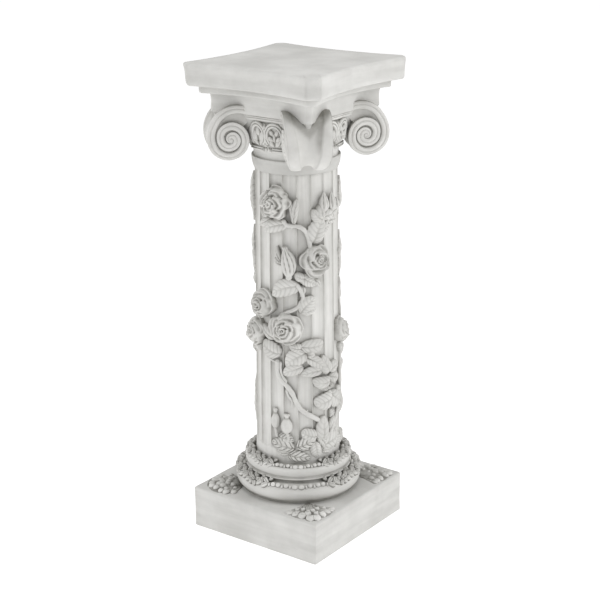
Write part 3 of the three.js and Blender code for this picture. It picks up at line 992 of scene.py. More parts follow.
@dataclass
class BowlArches:
    """Two ribbon arches on each side of the bowl, filled with a fleur and with lobed leaves."""

    foot_radius: float = 76.4
    slope: float = 0.125
    base: float = 672.0
    middle: float = 11.4
    outer: float = 26.5
    half_width: float = 14.2
    half_height: float = 17.6
    centre: float = 690.5
    ribbon: float = 4.3

    def bowl(self, azimuth: float, height: float) -> Place:
        """A place on the bowl, which widens upward."""
        radius = self.foot_radius + self.slope * (height - self.base)
        return column_place(radius, azimuth, height, -math.degrees(math.atan(self.slope)))

    def arch(self, azimuth: float) -> Shell:
        """A horseshoe ribbon with two rounded lines along it.

        The line is an ellipse on the unrolled bowl, open at its foot.
        """
        turn = np.radians(np.linspace(-48, 228, 48))
        sideways = self.half_width * np.cos(turn)
        height = self.centre + self.half_height * np.sin(turn)
        radius = self.foot_radius + self.slope * (height - self.base)
        around = azimuth + np.degrees(sideways / radius)
        middle = on_column(radius, around, height)
        out = on_column(1.0, around, 0.0)
        ahead = np.gradient(middle, axis=0)
        side = np.cross(ahead, out)
        side /= np.linalg.norm(side, axis=1, keepdims=True)
        across = np.linspace(-1, 1, 13)
        lines = 2.0 * np.sqrt(unit(1 - (2 * np.abs(across) - 1) ** 2)) + 2.6
        proud = np.tile(lines * (1 - 0.3 * np.abs(across) ** 6), (len(turn), 1))
        groove = np.tile(0.5 * bell(across, 0.22), (len(turn), 1))
        return strip(middle, side, out, self.ribbon, proud, 3.0, groove)

    def lobes(self, azimuth: float, sprays: list[tuple[float, float, float, float, float]]) -> list[Shell]:
        """Small leaves inside an arch.

        Args:
            azimuth: The arch's middle.
            sprays: Sideways and upward place of each root, its turn from sideways, length and width.

        Returns:
            The closed leaves.
        """
        made = []
        for sideways, upward, turn, length, width in sprays:
            place = self.bowl(azimuth + math.degrees(sideways / 79), self.base + upward).turned(turn)
            made.append(lobe(place, length, width, 4.2, 0.6, 0.25))
        return made

    def build(self, workshop: Workshop) -> None:
        """On each side a fleur in the left arch, lobed leaves in the right one and a bud between."""
        fleur = [(-5.4, 1.5, 98, 24, 9.6), (5.4, 1.5, 82, 24, 9.6), (0, 33, -90, 17, 10.0),
                 (-1.6, 0.5, 118, 12, 5.4), (1.6, 0.5, 62, 12, 5.4)]
        leaves = [(-1.5, 0.5, 124, 14, 8.2), (1.5, 0.5, 56, 14, 8.2), (-1, 9, 142, 14, 8.4),
                  (1, 9, 38, 14, 8.4), (-0.5, 17, 122, 14, 8.0), (0.5, 17, 58, 14, 8.0), (0, 7, 90, 16, 5.6)]
        shells = []
        for quarter in QUARTERS:
            left, right = quarter - self.middle, quarter + self.middle
            shells += [self.arch(left), self.arch(right)]
            shells += self.lobes(left, fleur) + self.lobes(right, leaves)
            for mirror in MIRRORS[::-1]:
                outer = self.bowl(quarter + mirror * self.outer, self.base + 1).turned(90)
                shells.append(lobe(outer, 34, 11, 5.5, 0.6, 0.3))
            for upward, length, width in ((29, 8, 6), (0, 9, 5)):
                bud = self.bowl(quarter, self.base + upward).turned(90)
                shells.append(lobe(bud, length, width, 5.5, 0.45, 0.3))
        workshop.piece("bowl_arches", shells, Finish.CARVED)


@dataclass
class SideMoulding:
    """The straight moulding under the abacus, which ends in a small curled tongue by each scroll."""

    reach: float = 62.0
    tongue: float = 56.0
    profile: tuple[tuple[float, float, float], ...] = (
        (70.0, 711.0, 1.0), (79.8, 711.4, 0.8), (81.6, 712.6, 0.3), (82.4, 714.4, 0.0), (82.4, 716.0, 0.0),
        (81.4, 716.8, 0.9), (82.8, 717.4, 0.1), (83.3, 718.8, 0.0), (82.2, 719.6, 0.9), (83.8, 720.2, 0.1),
        (84.4, 721.8, 0.2), (84.2, 723.8, 0.4), (70.0, 724.4, 1.0),
    )

    def build(self, workshop: Workshop) -> None:
        """The softened profile, carried straight along each side, and the two tongues."""
        line = softened(np.array(self.profile), 1, closed=True)
        along = np.linspace(-self.reach, self.reach, 30)[:, None]
        dip = 0.4 * (along / self.reach) ** 2
        shells = []
        for quarter in QUARTERS:
            rings = np.stack(np.broadcast_arrays(along, dip - line[:, 0], line[:, 1]), -1)
            rings = rings @ Matrix.Rotation(-math.radians(quarter), 3, "Z")
            shells.append(skin(rings, np.tile(line[:, 2], (len(along), 1))))
            side = column_place(82.0, quarter, 715.5)
            for mirror in MIRRORS[::-1]:
                root = side.moved(mirror * (self.tongue - 7), 0).turned(-16 if mirror > 0 else 196)
                shells.append(lobe(root, 15, 8.5, 4.0, 0.62, 0.3, rise=1.0))
        workshop.piece("side_mouldings", shells, Finish.CARVED)


@dataclass
class Abacus:
    """The hollow-sided block, fillet and slab over the capital.

    Attributes:
        rows: Distance of the tips and of the mid-sides, leg of the cut-off corner, height and carving
        depth of each ring, from low to high. Carving depth darkens a ring with painted shade and
        antiquing under the overhangs.
    """

    rows: tuple[tuple[float, float, float, float, float], ...] = (
        (80.0, 66.0, 4.0, 687.0, 0.9), (88.0, 72.0, 4.0, 700.0, 0.9), (94.0, 78.0, 4.0, 711.0, 0.8),
        (95.6, 81.0, 4.2, 719.0, 0.8), (96.2, 82.0, 4.4, 720.4, 0.8), (98.6, 85.4, 4.8, 721.2, 0.3),
        (99.2, 86.0, 5.0, 722.4, 0.0), (99.4, 86.0, 5.6, 727.0, 0.0), (99.6, 86.2, 7.0, 738.0, 0.0),
        (100.6, 87.0, 8.4, 746.0, 0.0),
        (102.0, 88.4, 9.5, 750.4, 0.3), (104.0, 90.0, 9.8, 751.8, 0.8), (114.6, 97.4, 12.0, 751.8, 0.2),
        (115.5, 98.5, 12.0, 753.2, 0.0), (115.5, 98.5, 12.0, 757.0, 0.0), (115.5, 98.5, 12.0, 762.4, 0.3),
        (116.0, 99.0, 12.0, 764.2, 0.9), (124.0, 110.0, 14.0, 764.4, 0.5), (131.0, 117.4, 17.0, 764.4, 0.1),
        (132.8, 119.3, 17.5, 767.4, 0.0), (133.0, 119.5, 17.5, 773.0, 0.0), (133.0, 119.5, 17.0, 782.0, 0.0),
        (133.0, 119.5, 15.5, 790.0, 0.0), (132.6, 119.2, 12.0, 796.4, 0.0), (130.0, 116.9, 10.0, 800.0, 0.0),
        (123.0, 111.0, 10.0, 800.0, 0.0), (100.0, 92.0, 9.0, 800.0, 0.0), (60.0, 58.0, 6.0, 800.0, 0.0),
    )
    steps: int = 11

    def outline(self, tip: float, middle: float, leg: float, height: float) -> Array:
        """A ring whose sides are parabolas hollowed inward and whose corners are cut off flat."""
        along = np.linspace(-1, 1, self.steps)
        along = np.concatenate([along[:1], [-0.955], along[1:-1], [0.955], along[-1:]])
        out = middle + (tip - middle) * along ** 2
        x = along * (tip - leg)
        side = np.stack([x, -out, np.full_like(x, height)], -1)
        return four_sides(side)

    def build(self, workshop: Workshop) -> None:
        """Stacks the rings and rounds their edges."""
        rings = softened(np.stack([self.outline(*row[:4]) for row in self.rows]), 2)
        depth = softened(np.array([[row[4]] for row in self.rows]), 2)
        swell = uneven(rings, 0.8, 110.0)
        rings = rings * (1 + swell[..., None] / 133 * [1, 1, 0])
        # Two thin darker lines along the edges of each corner facet of the slab.
        across = np.abs(np.abs(rings[..., 0]) - np.abs(rings[..., 1])) / math.sqrt(2)
        slab_edge = (rings[..., 2] > 766) * (np.hypot(rings[..., 0], rings[..., 1]) > 150)
        facet = 0.45 * bell(across - 11.5, 1.3) * slab_edge
        workshop.piece("abacus", [skin(rings, np.maximum(depth, facet))], Finish.PLAIN)


@dataclass
class Volute:
    """One corner scroll: a broad ribbon that springs from the abacus and rolls up about its eye.

    The angle runs from outward (0) to downward (90) to inward (180). The outer surface's radius is
    given at even turns and runs smoothly between them. Inside each turn a web closes the gap to the
    next.

    Attributes:
        azimuth: The corner's direction.
        radii: Radius of the outer surface, every half quarter turn from the start.
        face: Depth under the outer surface, step back from the face plane and carving depth,
            across the ribbon's edge.
    """

    azimuth: float
    eye_distance: float = 108.0
    eye_height: float = 681.0
    start: float = -135.0
    between: float = 45.0
    radii: tuple[float, ...] = (
        61.0, 54.5, 43.6, 38.7, 37.4, 35.6, 31.6, 29.0, 28.4, 28.6, 27.0, 23.6, 21.4, 18.8, 16.8, 15.4, 14.0,
        12.6, 10.6, 8.6, 7.0, 5.6, 4.0, 2.4,
    )
    half_width: float = 35.0
    width_rise: float = 0.05
    width_fall: float = 0.0075
    saddle: float = 6.4
    face: tuple[tuple[float, float, float], ...] = (
        (0.6, 0.4, 0.0), (1.6, 0.0, 0.0), (3.4, 0.0, 0.0), (4.8, 0.2, 0.1), (5.5, 0.8, 0.45),
        (6.1, 0.8, 0.45), (6.9, 0.1, 0.1), (8.0, -0.5, 0.0), (9.6, -0.7, 0.0), (11.2, -0.3, 0.0),
        (12.5, 0.8, 0.15), (13.6, 2.2, 0.35), (14.4, 3.4, 0.5),
    )

    def radius(self, angle: Array) -> Array:
        """Radius of the ribbon's outer surface at angles in degrees."""
        where = np.clip((angle - self.start) / self.between, 0, len(self.radii) - 1)
        return smooth_at(np.array(self.radii), where)

    def half(self, rise: Array) -> Array:
        """Half the scroll's width, which grows a little upward and shrinks faster downward."""
        over, under = np.clip(rise, 0, None), np.clip(rise, None, 0)
        return self.half_width + self.width_rise * over - self.width_fall * under ** 2

    def section(self, rim: Array, saddle: Array) -> tuple[Array, Array]:
        """The outer face of the ribbon, a shallow saddle between two rounded flanges.

        Args:
            rim: Share of the half width at which each flange starts, for each angle.
            saddle: Depth of the saddle at each angle.

        Returns:
            Depth under the outer surface and share of the half width.
        """
        inner = np.linspace(0, 1, 10)[None, :]
        bowl = 1.3 + saddle * np.clip(1 - inner ** 2, 0, None) ** 0.65
        outer = np.array([0.03, 0.12, 0.3, 0.5, 0.7, 0.88, 0.97])[None, :]
        crown = 1.1 * (2 * outer - 0.95) ** 2 - 0.1
        shares = np.concatenate([inner * rim, rim + outer * (1 - rim)], axis=1)
        return np.concatenate([bowl, np.repeat(crown, len(rim), axis=0)], axis=1), shares

    def web(self, angle: Array, radial: Array, sideways: Array) -> Shell:
        """The wall inside the turns, a little behind the faces and deeper where the turns stand apart.

        Args:
            angle: Angles of the ribbon, in degrees.
            radial: Outward direction of the corner.
            sideways: Direction across the scroll.

        Returns:
            The closed wall.
        """
        outer, inner = self.radius(angle) - 9.0, self.radius(angle + 360) - 3.0
        apart = unit((self.radius(angle) - inner - 17) / 8)
        rho = np.stack([inner, outer, outer, inner], axis=1)
        rise = -rho * np.sin(np.radians(angle))[:, None]
        sunk = np.stack([3.2 + 4 * apart, 3.2 + 2 * apart], axis=1)[:, [0, 1, 1, 0]]
        width = (self.half(rise) - sunk) * np.array([1, 1, -1, -1])
        out = self.eye_distance + rho * np.cos(np.radians(angle))[:, None]
        rings = out[..., None] * radial + width[..., None] * sideways
        rings[..., 2] = self.eye_height + rise
        # The web is painted darker, with shade and antiquing, the more so where the turns stand apart.
        return skin(rings, np.repeat(0.15 + 0.3 * apart[:, None], 4, axis=1))

    def build(self, workshop: Workshop) -> None:
        """Carries the cross-section along the spiral, down to a small eye."""
        end = self.start + self.between * (len(self.radii) - 1)
        angle = np.concatenate([np.arange(self.start, 360, 5.0), np.arange(360, end, 7.5)])
        radius = self.radius(angle)[:, None]
        height = -radius * np.sin(np.radians(angle))[:, None]
        rim = 0.5 + 0.0032 * np.clip(height, 0, None) + 0.003 * np.clip(height, None, 0)
        back, side = self.section(rim, self.saddle - 0.04 * np.clip(height, 0, 60))
        face = np.array(self.face)
        turns = len(angle)
        depth = np.concatenate([back, np.tile(face[:, 0], (turns, 1)), np.full((turns, 2), 14.6)], axis=1)
        share = np.concatenate([side, np.ones((turns, len(face))), np.tile([0.82, 0.3], (turns, 1))], axis=1)
        step = np.concatenate([np.zeros(side.shape[1]), face[:, 1], [0.0, 0.0]])
        # Creases on the scroll's edge, where the saddle meets each flange, and its back are painted darker,
        # as shade and antiquing.
        hollow = np.concatenate([np.zeros(side.shape[1]), face[:, 2], [1.0, 1.0]])
        hollow[[9, 10]] = 0.25
        depth, share = (np.concatenate([part, part[:, ::-1]], axis=1) for part in (depth, share))
        step, hollow = (np.concatenate([part, part[::-1]]) for part in (step, hollow))
        sign = np.repeat([1.0, -1.0], len(step) // 2)
        tight = unit(radius / 15)
        inner = unit((angle[:, None] - 200) / 100)
        depth = np.where(share < 0.9, depth * (1 - inner) + np.clip(depth, 2, None) * inner, depth)
        rho = radius - depth * tight
        rise = -rho * np.sin(np.radians(angle))[:, None]
        width = self.half(rise) * share - step * tight
        out = self.eye_distance + rho * np.cos(np.radians(angle))[:, None]
        radial, sideways = heading(self.azimuth)
        rings = out[..., None] * radial + (sign * width)[..., None] * sideways
        rings[..., 2] = self.eye_height + rise
        # Painted shade in the saddle under the abacus corner at the scroll's top, and beside the inner wall
        # of one flange.
        painted_shade = unit((rise - 14 - 0.9 * np.abs(width)) / 10) * (step == 0)
        wall = unit((sign * width / self.half(rise) - 0.2) / 0.25) * (share < rim) * (step == 0)
        painted_shade = np.maximum(painted_shade, wall * unit((rise + 8) / 20))
        ribbon = skin(rings, np.maximum(hollow, 1.3 * painted_shade))
        shells = [ribbon, self.web(angle[angle < 540], radial, sideways)]
        for mirror in MIRRORS[::-1]:
            eye = radial * self.eye_distance + mirror * sideways * (self.half_width - 2.0)
            place = Place(eye + self.eye_height * UP, UP, radial, mirror * sideways)
            shells.append(lobe(place.moved(-2.8, 0), 5.6, 5.6, 2.6))
        workshop.piece(f"scroll_{self.azimuth:.0f}", shells, Finish.CARVED, sharp=40)


# Climbing rose

SHAFT_SURFACE = 70.0


def over_shaft(azimuth: float, height: float, sideways: Array, upward: Array, proud: Array) -> Array:
    """Points over the shaft, from steps round it, up it and out of its surface."""
    around = azimuth + np.degrees(sideways / SHAFT_SURFACE)
    return on_column(SHAFT_SURFACE + proud, around, height + upward)


class Veins(Enum):
    """How a leaf is veined.

    Each is its side veins, their depth, their width, how far its edges fall off and its rows of points.
    """

    BROAD = (5, 2.8, 0.11, 0.35, 72)
    FINE = (6, 0.85, 0.1, 0.5, 56)
    FAINT = (5, 0.5, 0.1, 0.6, 38)


@dataclass(frozen=True)
class Leaf:
    """One leaf on the shaft.

    Attributes:
        base: Azimuth and height of its root.
        tip: Azimuth and height of its tip.
        width: Across its widest part.
        veins: How it is veined.
        lift: How far its middle stands out of the shaft.
        tip_lift: How much further its tip does.
        bend: How far its midrib bows sideways.
        blunt: How round its tip is, 0 for a point and 1 for a broad round end.
    """

    base: tuple[float, float]
    tip: tuple[float, float]
    width: float = 18.0
    veins: Veins = Veins.FINE
    lift: float = 5.0
    tip_lift: float = 0.0
    bend: float = 2.0
    blunt: float = 0.3

    def outline(self, along: Array) -> Array:
        """Share of the half width: a power of the distance from the root times one from the tip."""
        root, tip = 0.5, 0.85 - 0.5 * self.blunt
        widest = root / (root + tip)
        return along ** root * (1 - along) ** tip / (widest ** root * (1 - widest) ** tip)

    def shell(self) -> Shell:
        """The leaf as a raised strip along its midrib.

        It arches from root to tip and falls off toward its edges, which follow the side veins in
        shallow scallops. Its root dips into the shaft. Each half is domed and swells like a pillow
        between grooves that run back from the midrib's along the side veins. A slow wave bends the
        whole leaf.

        Returns:
            The closed leaf.
        """
        sideways = math.radians(self.tip[0] - self.base[0]) * SHAFT_SURFACE
        upward = self.tip[1] - self.base[1]
        length = math.hypot(sideways, upward)
        count, depth, width, drop, rows = self.veins.value
        along = (0.5 - 0.5 * np.cos(np.linspace(0, np.pi, rows)))[:, None]
        across = np.array([-1, -0.98, -0.93, -0.86, -0.76, -0.64, -0.52, -0.4, -0.28, -0.17, -0.08])
        across = np.concatenate([across, [0], -across[::-1]])[None, :]
        slant = along * count - 1.3 * np.abs(across) ** 1.45
        outline = self.outline(along)
        shallow = 0.02 + 0.022 * depth
        scallop = 1 + shallow * np.cos(2 * np.pi * (along * count - 1.3)) * unit(outline * 2 - 0.6)
        half = self.width / 2 * (outline * scallop + 0.03)
        open_middle = unit(np.abs(across) / 0.12) * unit((1.04 - np.abs(across)) / 0.16)
        open_middle = open_middle * unit(outline * 1.6)
        vein = bell((slant % 1) - 0.5, width) * open_middle
        pillow = np.sqrt(np.abs(np.sin(np.pi * (slant - 0.5))))
        cut = (0.35 * vein + 0.75 * (1 - pillow) * open_middle)
        midrib = bell(across, 0.1) * unit(1.15 - along)
        arch = np.sin(np.pi * (0.04 + 0.92 * along ** 0.85)) ** 0.9
        rise = self.lift * arch + self.tip_lift * along ** 2 - 2.2 * np.exp(-along / 0.07)
        dome = 1.5 * (1 - (2 * np.abs(across) - 0.9) ** 2) * unit(outline)
        wave = 0.5 * np.sin(4.2 * along + 2.2 * across + self.base[0])
        wave = wave + 0.55 * np.sin(10 * along + self.base[1])
        fall = 1 - drop * np.abs(across) ** 2.4
        proud = 0.6 + (rise + wave) * fall + dome - depth * cut - 0.8 * midrib
        bow = self.bend * 4 * along * (1 - along)
        side = across * half + bow
        forward = along * length + 0 * side
        cosine, sine = sideways / length, upward / length
        grid = over_shaft(*self.base, forward * cosine - side * sine, forward * sine + side * cosine, proud)
        edges = side[:, [-1, 0]] * 0.9 + bow * 0.1
        ahead = forward[:, [-1, 0]]
        under = over_shaft(*self.base, ahead * cosine - edges * sine, ahead * sine + edges * cosine,
                           -7 + 0 * edges)
        # Painted shade in the vein and midrib grooves, along the leaf's edges and on its sides down to the
        # shaft.
        groove = 0.45 + 0.6 * min(depth, 2)
        rim = 0.3 * unit((np.abs(across) - 0.9) / 0.08)
        top = groove * (vein + midrib) + rim + 0 * proud
        hollow = np.concatenate([top, 0.9 * np.ones_like(edges)], axis=1)
        return skin(np.concatenate([grid, under], axis=1), hollow)


@dataclass(frozen=True)
class Tier:
    """One ring of petals, with sizes as shares of the bloom's radius.

    Attributes:
        count: Petals in the ring.
        rim: Distance of their rims from the bloom's axis.
        rise: Height of their rims.
        cup: How steeply they fall inward from the rim.
        spread: Half the angle that a petal takes up, in degrees.
        tilt: How far one edge of a petal lies over its neighbour.
    """

    count: int
    rim: float
    rise: float
    cup: float
    spread: float
    tilt: float


@dataclass(frozen=True)
class Rose:
    """An open bloom of overlapping petals, carved from one relief.

    Attributes:
        azimuth: Direction of its middle from the axis.
        height: Height of its middle.
        radius: Of its outermost petals.
        turn: Where its first petal lies, in degrees.
        seed: Of the numbers that vary its petals.
        heart: How far its heart lies off its middle, to the right and upward, as shares of its radius.
        lean: How far it faces upward, in degrees.
        fine: Steps round its relief.
        wall: How steeply a petal falls outside its rim.
        ruffle: How far its rims wave, against the usual.
        tiers: Its rings of petals, the outermost first.
    """

    azimuth: float
    height: float
    radius: float
    turn: float = 0.0
    seed: int = 1
    heart: tuple[float, float] = (-0.1, -0.08)
    lean: float = 8.0
    fine: int = 176
    wall: float = 2.4
    ruffle: float = 1.0
    tiers: tuple[Tier, ...] = (
        Tier(5, 0.98, 0.20, 0.50, 47, 0.08), Tier(4, 0.81, 0.42, 0.72, 58, 0.12),
        Tier(4, 0.58, 0.57, 0.95, 66, 0.12), Tier(3, 0.36, 0.64, 1.05, 86, 0.10),
        Tier(2, 0.19, 0.66, 1.1, 116, 0.08), Tier(1, 0.08, 0.64, 1.0, 165, 0.05),
    )

    def petals(self, level: int, angle: Array) -> list[tuple[Array, Array, Array]]:
        """Where the rims of one ring of petals run.

        The rim's distance falls off toward the petal's two edges as a power of the angle from its
        middle and has two waves, and its height tilts from one edge to the other.

        Args:
            level: The ring's number, 0 for the outermost.
            angle: Directions about the ring's middle, in degrees.

        Returns:
            For each petal the rim's distance and height at each angle, and where the petal exists.
        """
        tier = self.tiers[level]
        draws = np.random.default_rng([self.seed, level]).uniform(-1, 1, (tier.count, 4))
        found = []
        for number, (shift, size, wave, lift) in enumerate(draws):
            middle = self.turn + 41 * level + 360 * (number + 0.2 * shift) / tier.count
            share = ((angle - middle + 180) % 360 - 180) / (tier.spread * (1 + 0.13 * size))
            waves = 0.035 * np.sin(4.5 * share + 3 * wave) + 0.014 * np.sin(10 * share + 5 * lift)
            point = 1 - 0.23 * np.abs(share) ** 1.6 + 0.07 * size + self.ruffle * waves
            rise = tier.rise + 0.06 * lift + tier.tilt * share + 0.03 * np.sin(3 * share + 4 * size)
            found.append((tier.rim * point, rise, np.abs(share) < 1))
        return found

    def shells(self) -> list[Shell]:
        """The relief over a round grid whose edge follows the outermost rims.

        Each petal rises evenly from inside to its rim and falls steeply outside it. The highest
        petal at each point shows. Each ring's middle lies nearer the heart than the last one's. The
        relief is averaged a little, so that rims are round, and carving depth is how far a point
        lies under its wider surroundings, which paints it darker as shade in the creases.

        Returns:
            The closed bloom.
        """
        angle = np.arange(self.fine) * 360 / self.fine
        turn = np.radians(angle)[None, :]
        outermost = [np.where(there, rim, 0) for rim, rise, there in self.petals(0, angle)]
        edge = blurred(np.max(outermost, axis=0)[None, :], 2)[0] + 0.02
        reach = np.linspace(0, 1, self.fine // 2)[:, None] * edge[None, :]
        side, up = reach * np.cos(turn), reach * np.sin(turn)
        relief = np.full(reach.shape, -0.1)
        for level, tier in enumerate(self.tiers):
            inward = level / (len(self.tiers) - 1)
            x, y = side - self.heart[0] * inward, up - self.heart[1] * inward
            apart = np.hypot(x, y)
            for rim, rise, there in self.petals(level, np.degrees(np.arctan2(y, x))):
                petal = rise + np.where(apart < rim, tier.cup * (apart - rim), self.wall * (rim - apart))
                relief = np.where(there & (petal > relief), petal, relief)
        relief = blurred(relief, 2)
        # Points that lie under their surroundings are painted darker, as shade in the creases between
        # petals; the foot ring is fully dark.
        hollow = unit((blurred(relief, 40) - relief + 0.01) / 0.11)
        size = self.radius
        place = column_place(SHAFT_SURFACE + 1.5, self.azimuth, self.height, self.lean)
        round_column = (side * size) ** 2 / (2 * SHAFT_SURFACE)
        rings = place.at(size * side, size * up, size * relief - 0.75 * round_column)[1:]
        foot = place.at(0.95 * size * side[-1], 0.95 * size * up[-1], -8.5)
        hollow = np.concatenate([hollow[1:], np.ones((1, self.fine))])
        return [skin(np.concatenate([rings, foot[None]]), hollow)]


@dataclass(frozen=True)
class Bud:
    """A bud on the shaft.

    Attributes:
        base: Azimuth and height of its root.
        tip: Azimuth and height of its tip.
        radius: Of its widest part.
        belly: How far up it is widest, as a share of its length.
        folds: How many folds wind round it.
        twist: How far they turn from foot to tip, in radians.
        bow: How far its middle bows to the left.
        mouth: Radius of its open top, as a share of its widest part.
    """

    base: tuple[float, float]
    tip: tuple[float, float]
    radius: float
    belly: float = 0.4
    folds: float = 6.0
    twist: float = 1.2
    bow: float = 0.0
    mouth: float = 0.05

    def shells(self) -> list[Shell]:
        """A spindle with folds that wind round it and a round calyx at its foot.

        Its radius is the largest of the calyx, of a sine of the distance along it, bent so that it is
        widest at the belly, and of a thin neck. The folds cut in above the calyx.

        Returns:
            The closed bud, as the only one in the list.
        """
        sideways = math.radians(self.tip[0] - self.base[0]) * SHAFT_SURFACE
        upward = self.tip[1] - self.base[1]
        length = math.hypot(sideways, upward)
        place = column_place(SHAFT_SURFACE + 2.0, self.base[0], self.base[1])
        place = place.turned(math.degrees(math.atan2(upward, sideways)))
        share = np.linspace(0, 1, 44)[:, None]
        turn = np.linspace(0, 2 * np.pi, 60, endpoint=False)[None, :]
        calyx = 0.42 * bell(share - 0.12, 0.09)
        bent = unit((share - 0.1) / 0.9) ** (math.log(0.5) / math.log((self.belly - 0.1) / 0.9))
        body = np.sin(np.pi * bent) ** 0.8
        neck = np.maximum(0.12 * (1 - share) + 0.05, self.mouth * unit((share - 0.7) / 0.2))
        swell = np.maximum(np.maximum(calyx, body), neck)
        fold = np.abs(np.sin(0.5 * self.folds * turn + self.twist * share)) ** 0.55
        open_share = unit((share - 0.18) / 0.14)
        reach = self.radius * swell * (1 - 0.36 * open_share * (1 - fold))
        aside = self.bow * np.sin(np.pi * share)
        rings = place.at(share * length, reach * np.cos(turn) + aside, reach * np.sin(turn) * 0.9)
        # Painted shade in the folds above the calyx and inside an open top.
        inside = unit((share - 0.96) / 0.04) * (self.mouth > 0.2)
        return [skin(rings, np.maximum(open_share * unit(1.3 - 1.7 * fold), inside))]


@dataclass(frozen=True)
class Hip:
    """A round rose hip with a small crown."""

    azimuth: float
    foot: float
    top: float
    radius: float

    def shells(self) -> list[Shell]:
        """An upright urn shape with faint upright ribs, a short neck and six crown tips."""
        place = column_place(SHAFT_SURFACE + 0.5, self.azimuth, self.foot).turned(90)
        length = self.top - self.foot
        line = np.array([(0.0, 0.3), (0.04, 0.52), (0.16, 0.86), (0.34, 1.0), (0.52, 0.94), (0.66, 0.66),
                         (0.74, 0.44), (0.8, 0.36), (0.87, 0.42), (0.95, 0.54), (1.0, 0.4)])
        line = softened(line, 2)
        turn = np.linspace(0, 2 * np.pi, 48, endpoint=False)[None, :]
        forward, reach = line[:, :1] * length, line[:, 1:] * self.radius
        ribs = 0.05 * np.cos(8 * turn) * unit((0.72 - line[:, :1]) / 0.2)
        crown = 1 + ribs + 0.12 * np.cos(6 * turn) * unit((line[:, :1] - 0.84) / 0.1)
        # Painted shade in the crease at the neck, under the crown.
        hollow = bell(line[:, :1] - 0.78, 0.05) + 0 * turn
        rings = place.at(forward, reach * crown * np.cos(turn), reach * crown * np.sin(turn))
        return [skin(rings, hollow)]


@dataclass(frozen=True)
class Stem:
    """A woody stem that winds over the shaft, through pairs of azimuth and height."""

    route: tuple[tuple[float, float], ...]
    radius: float = 3.5
    end_radius: float = 2.6
    thorns: int = 2

    def shells(self) -> list[Shell]:
        """A slightly knotted tube, and a few short thorns along it."""
        line = np.array(self.route)
        length = float(np.hypot(np.radians(np.diff(line[:, 0])) * SHAFT_SURFACE, np.diff(line[:, 1])).sum())
        count = max(12, int(length / 2.2))
        line = smooth_line(line, count)
        share = np.linspace(0, 1, count)
        ends = np.sqrt(np.clip(np.minimum(share, 1 - share) * length / self.radius, 0.15, 1))
        radii = (self.radius + (self.end_radius - self.radius) * share) * ends
        radii = radii * (1 + 0.08 * np.sin(share * length / 4.7) + 0.06 * np.sin(share * length / 2.1))
        proud = SHAFT_SURFACE + 1.6 + 0.8 * np.sin(share * length / 14)
        path = on_column(proud, line[:, 0], line[:, 1])
        made = [tube(path, on_column(1.0, line[:, 0], 0.0), radii)]
        for number in range(self.thorns):
            where = int(count * (number + 0.6) / (self.thorns + 0.4))
            place = column_place(SHAFT_SURFACE + 1.6, line[where, 0], line[where, 1])
            place = place.turned(60 if number % 2 else -110)
            made.append(lobe(place.moved(1.5, 0), 5.5, 3.4, 2.2, 0.3))
        return made


BROAD, FINE, FAINT = Veins


def foliage(*rows: tuple) -> tuple[Leaf, ...]:
    """Leaves from rows of the azimuth and height of the root and of the tip and their other sizes."""
    return tuple(Leaf(row[:2], row[2:4], *row[4:]) for row in rows)


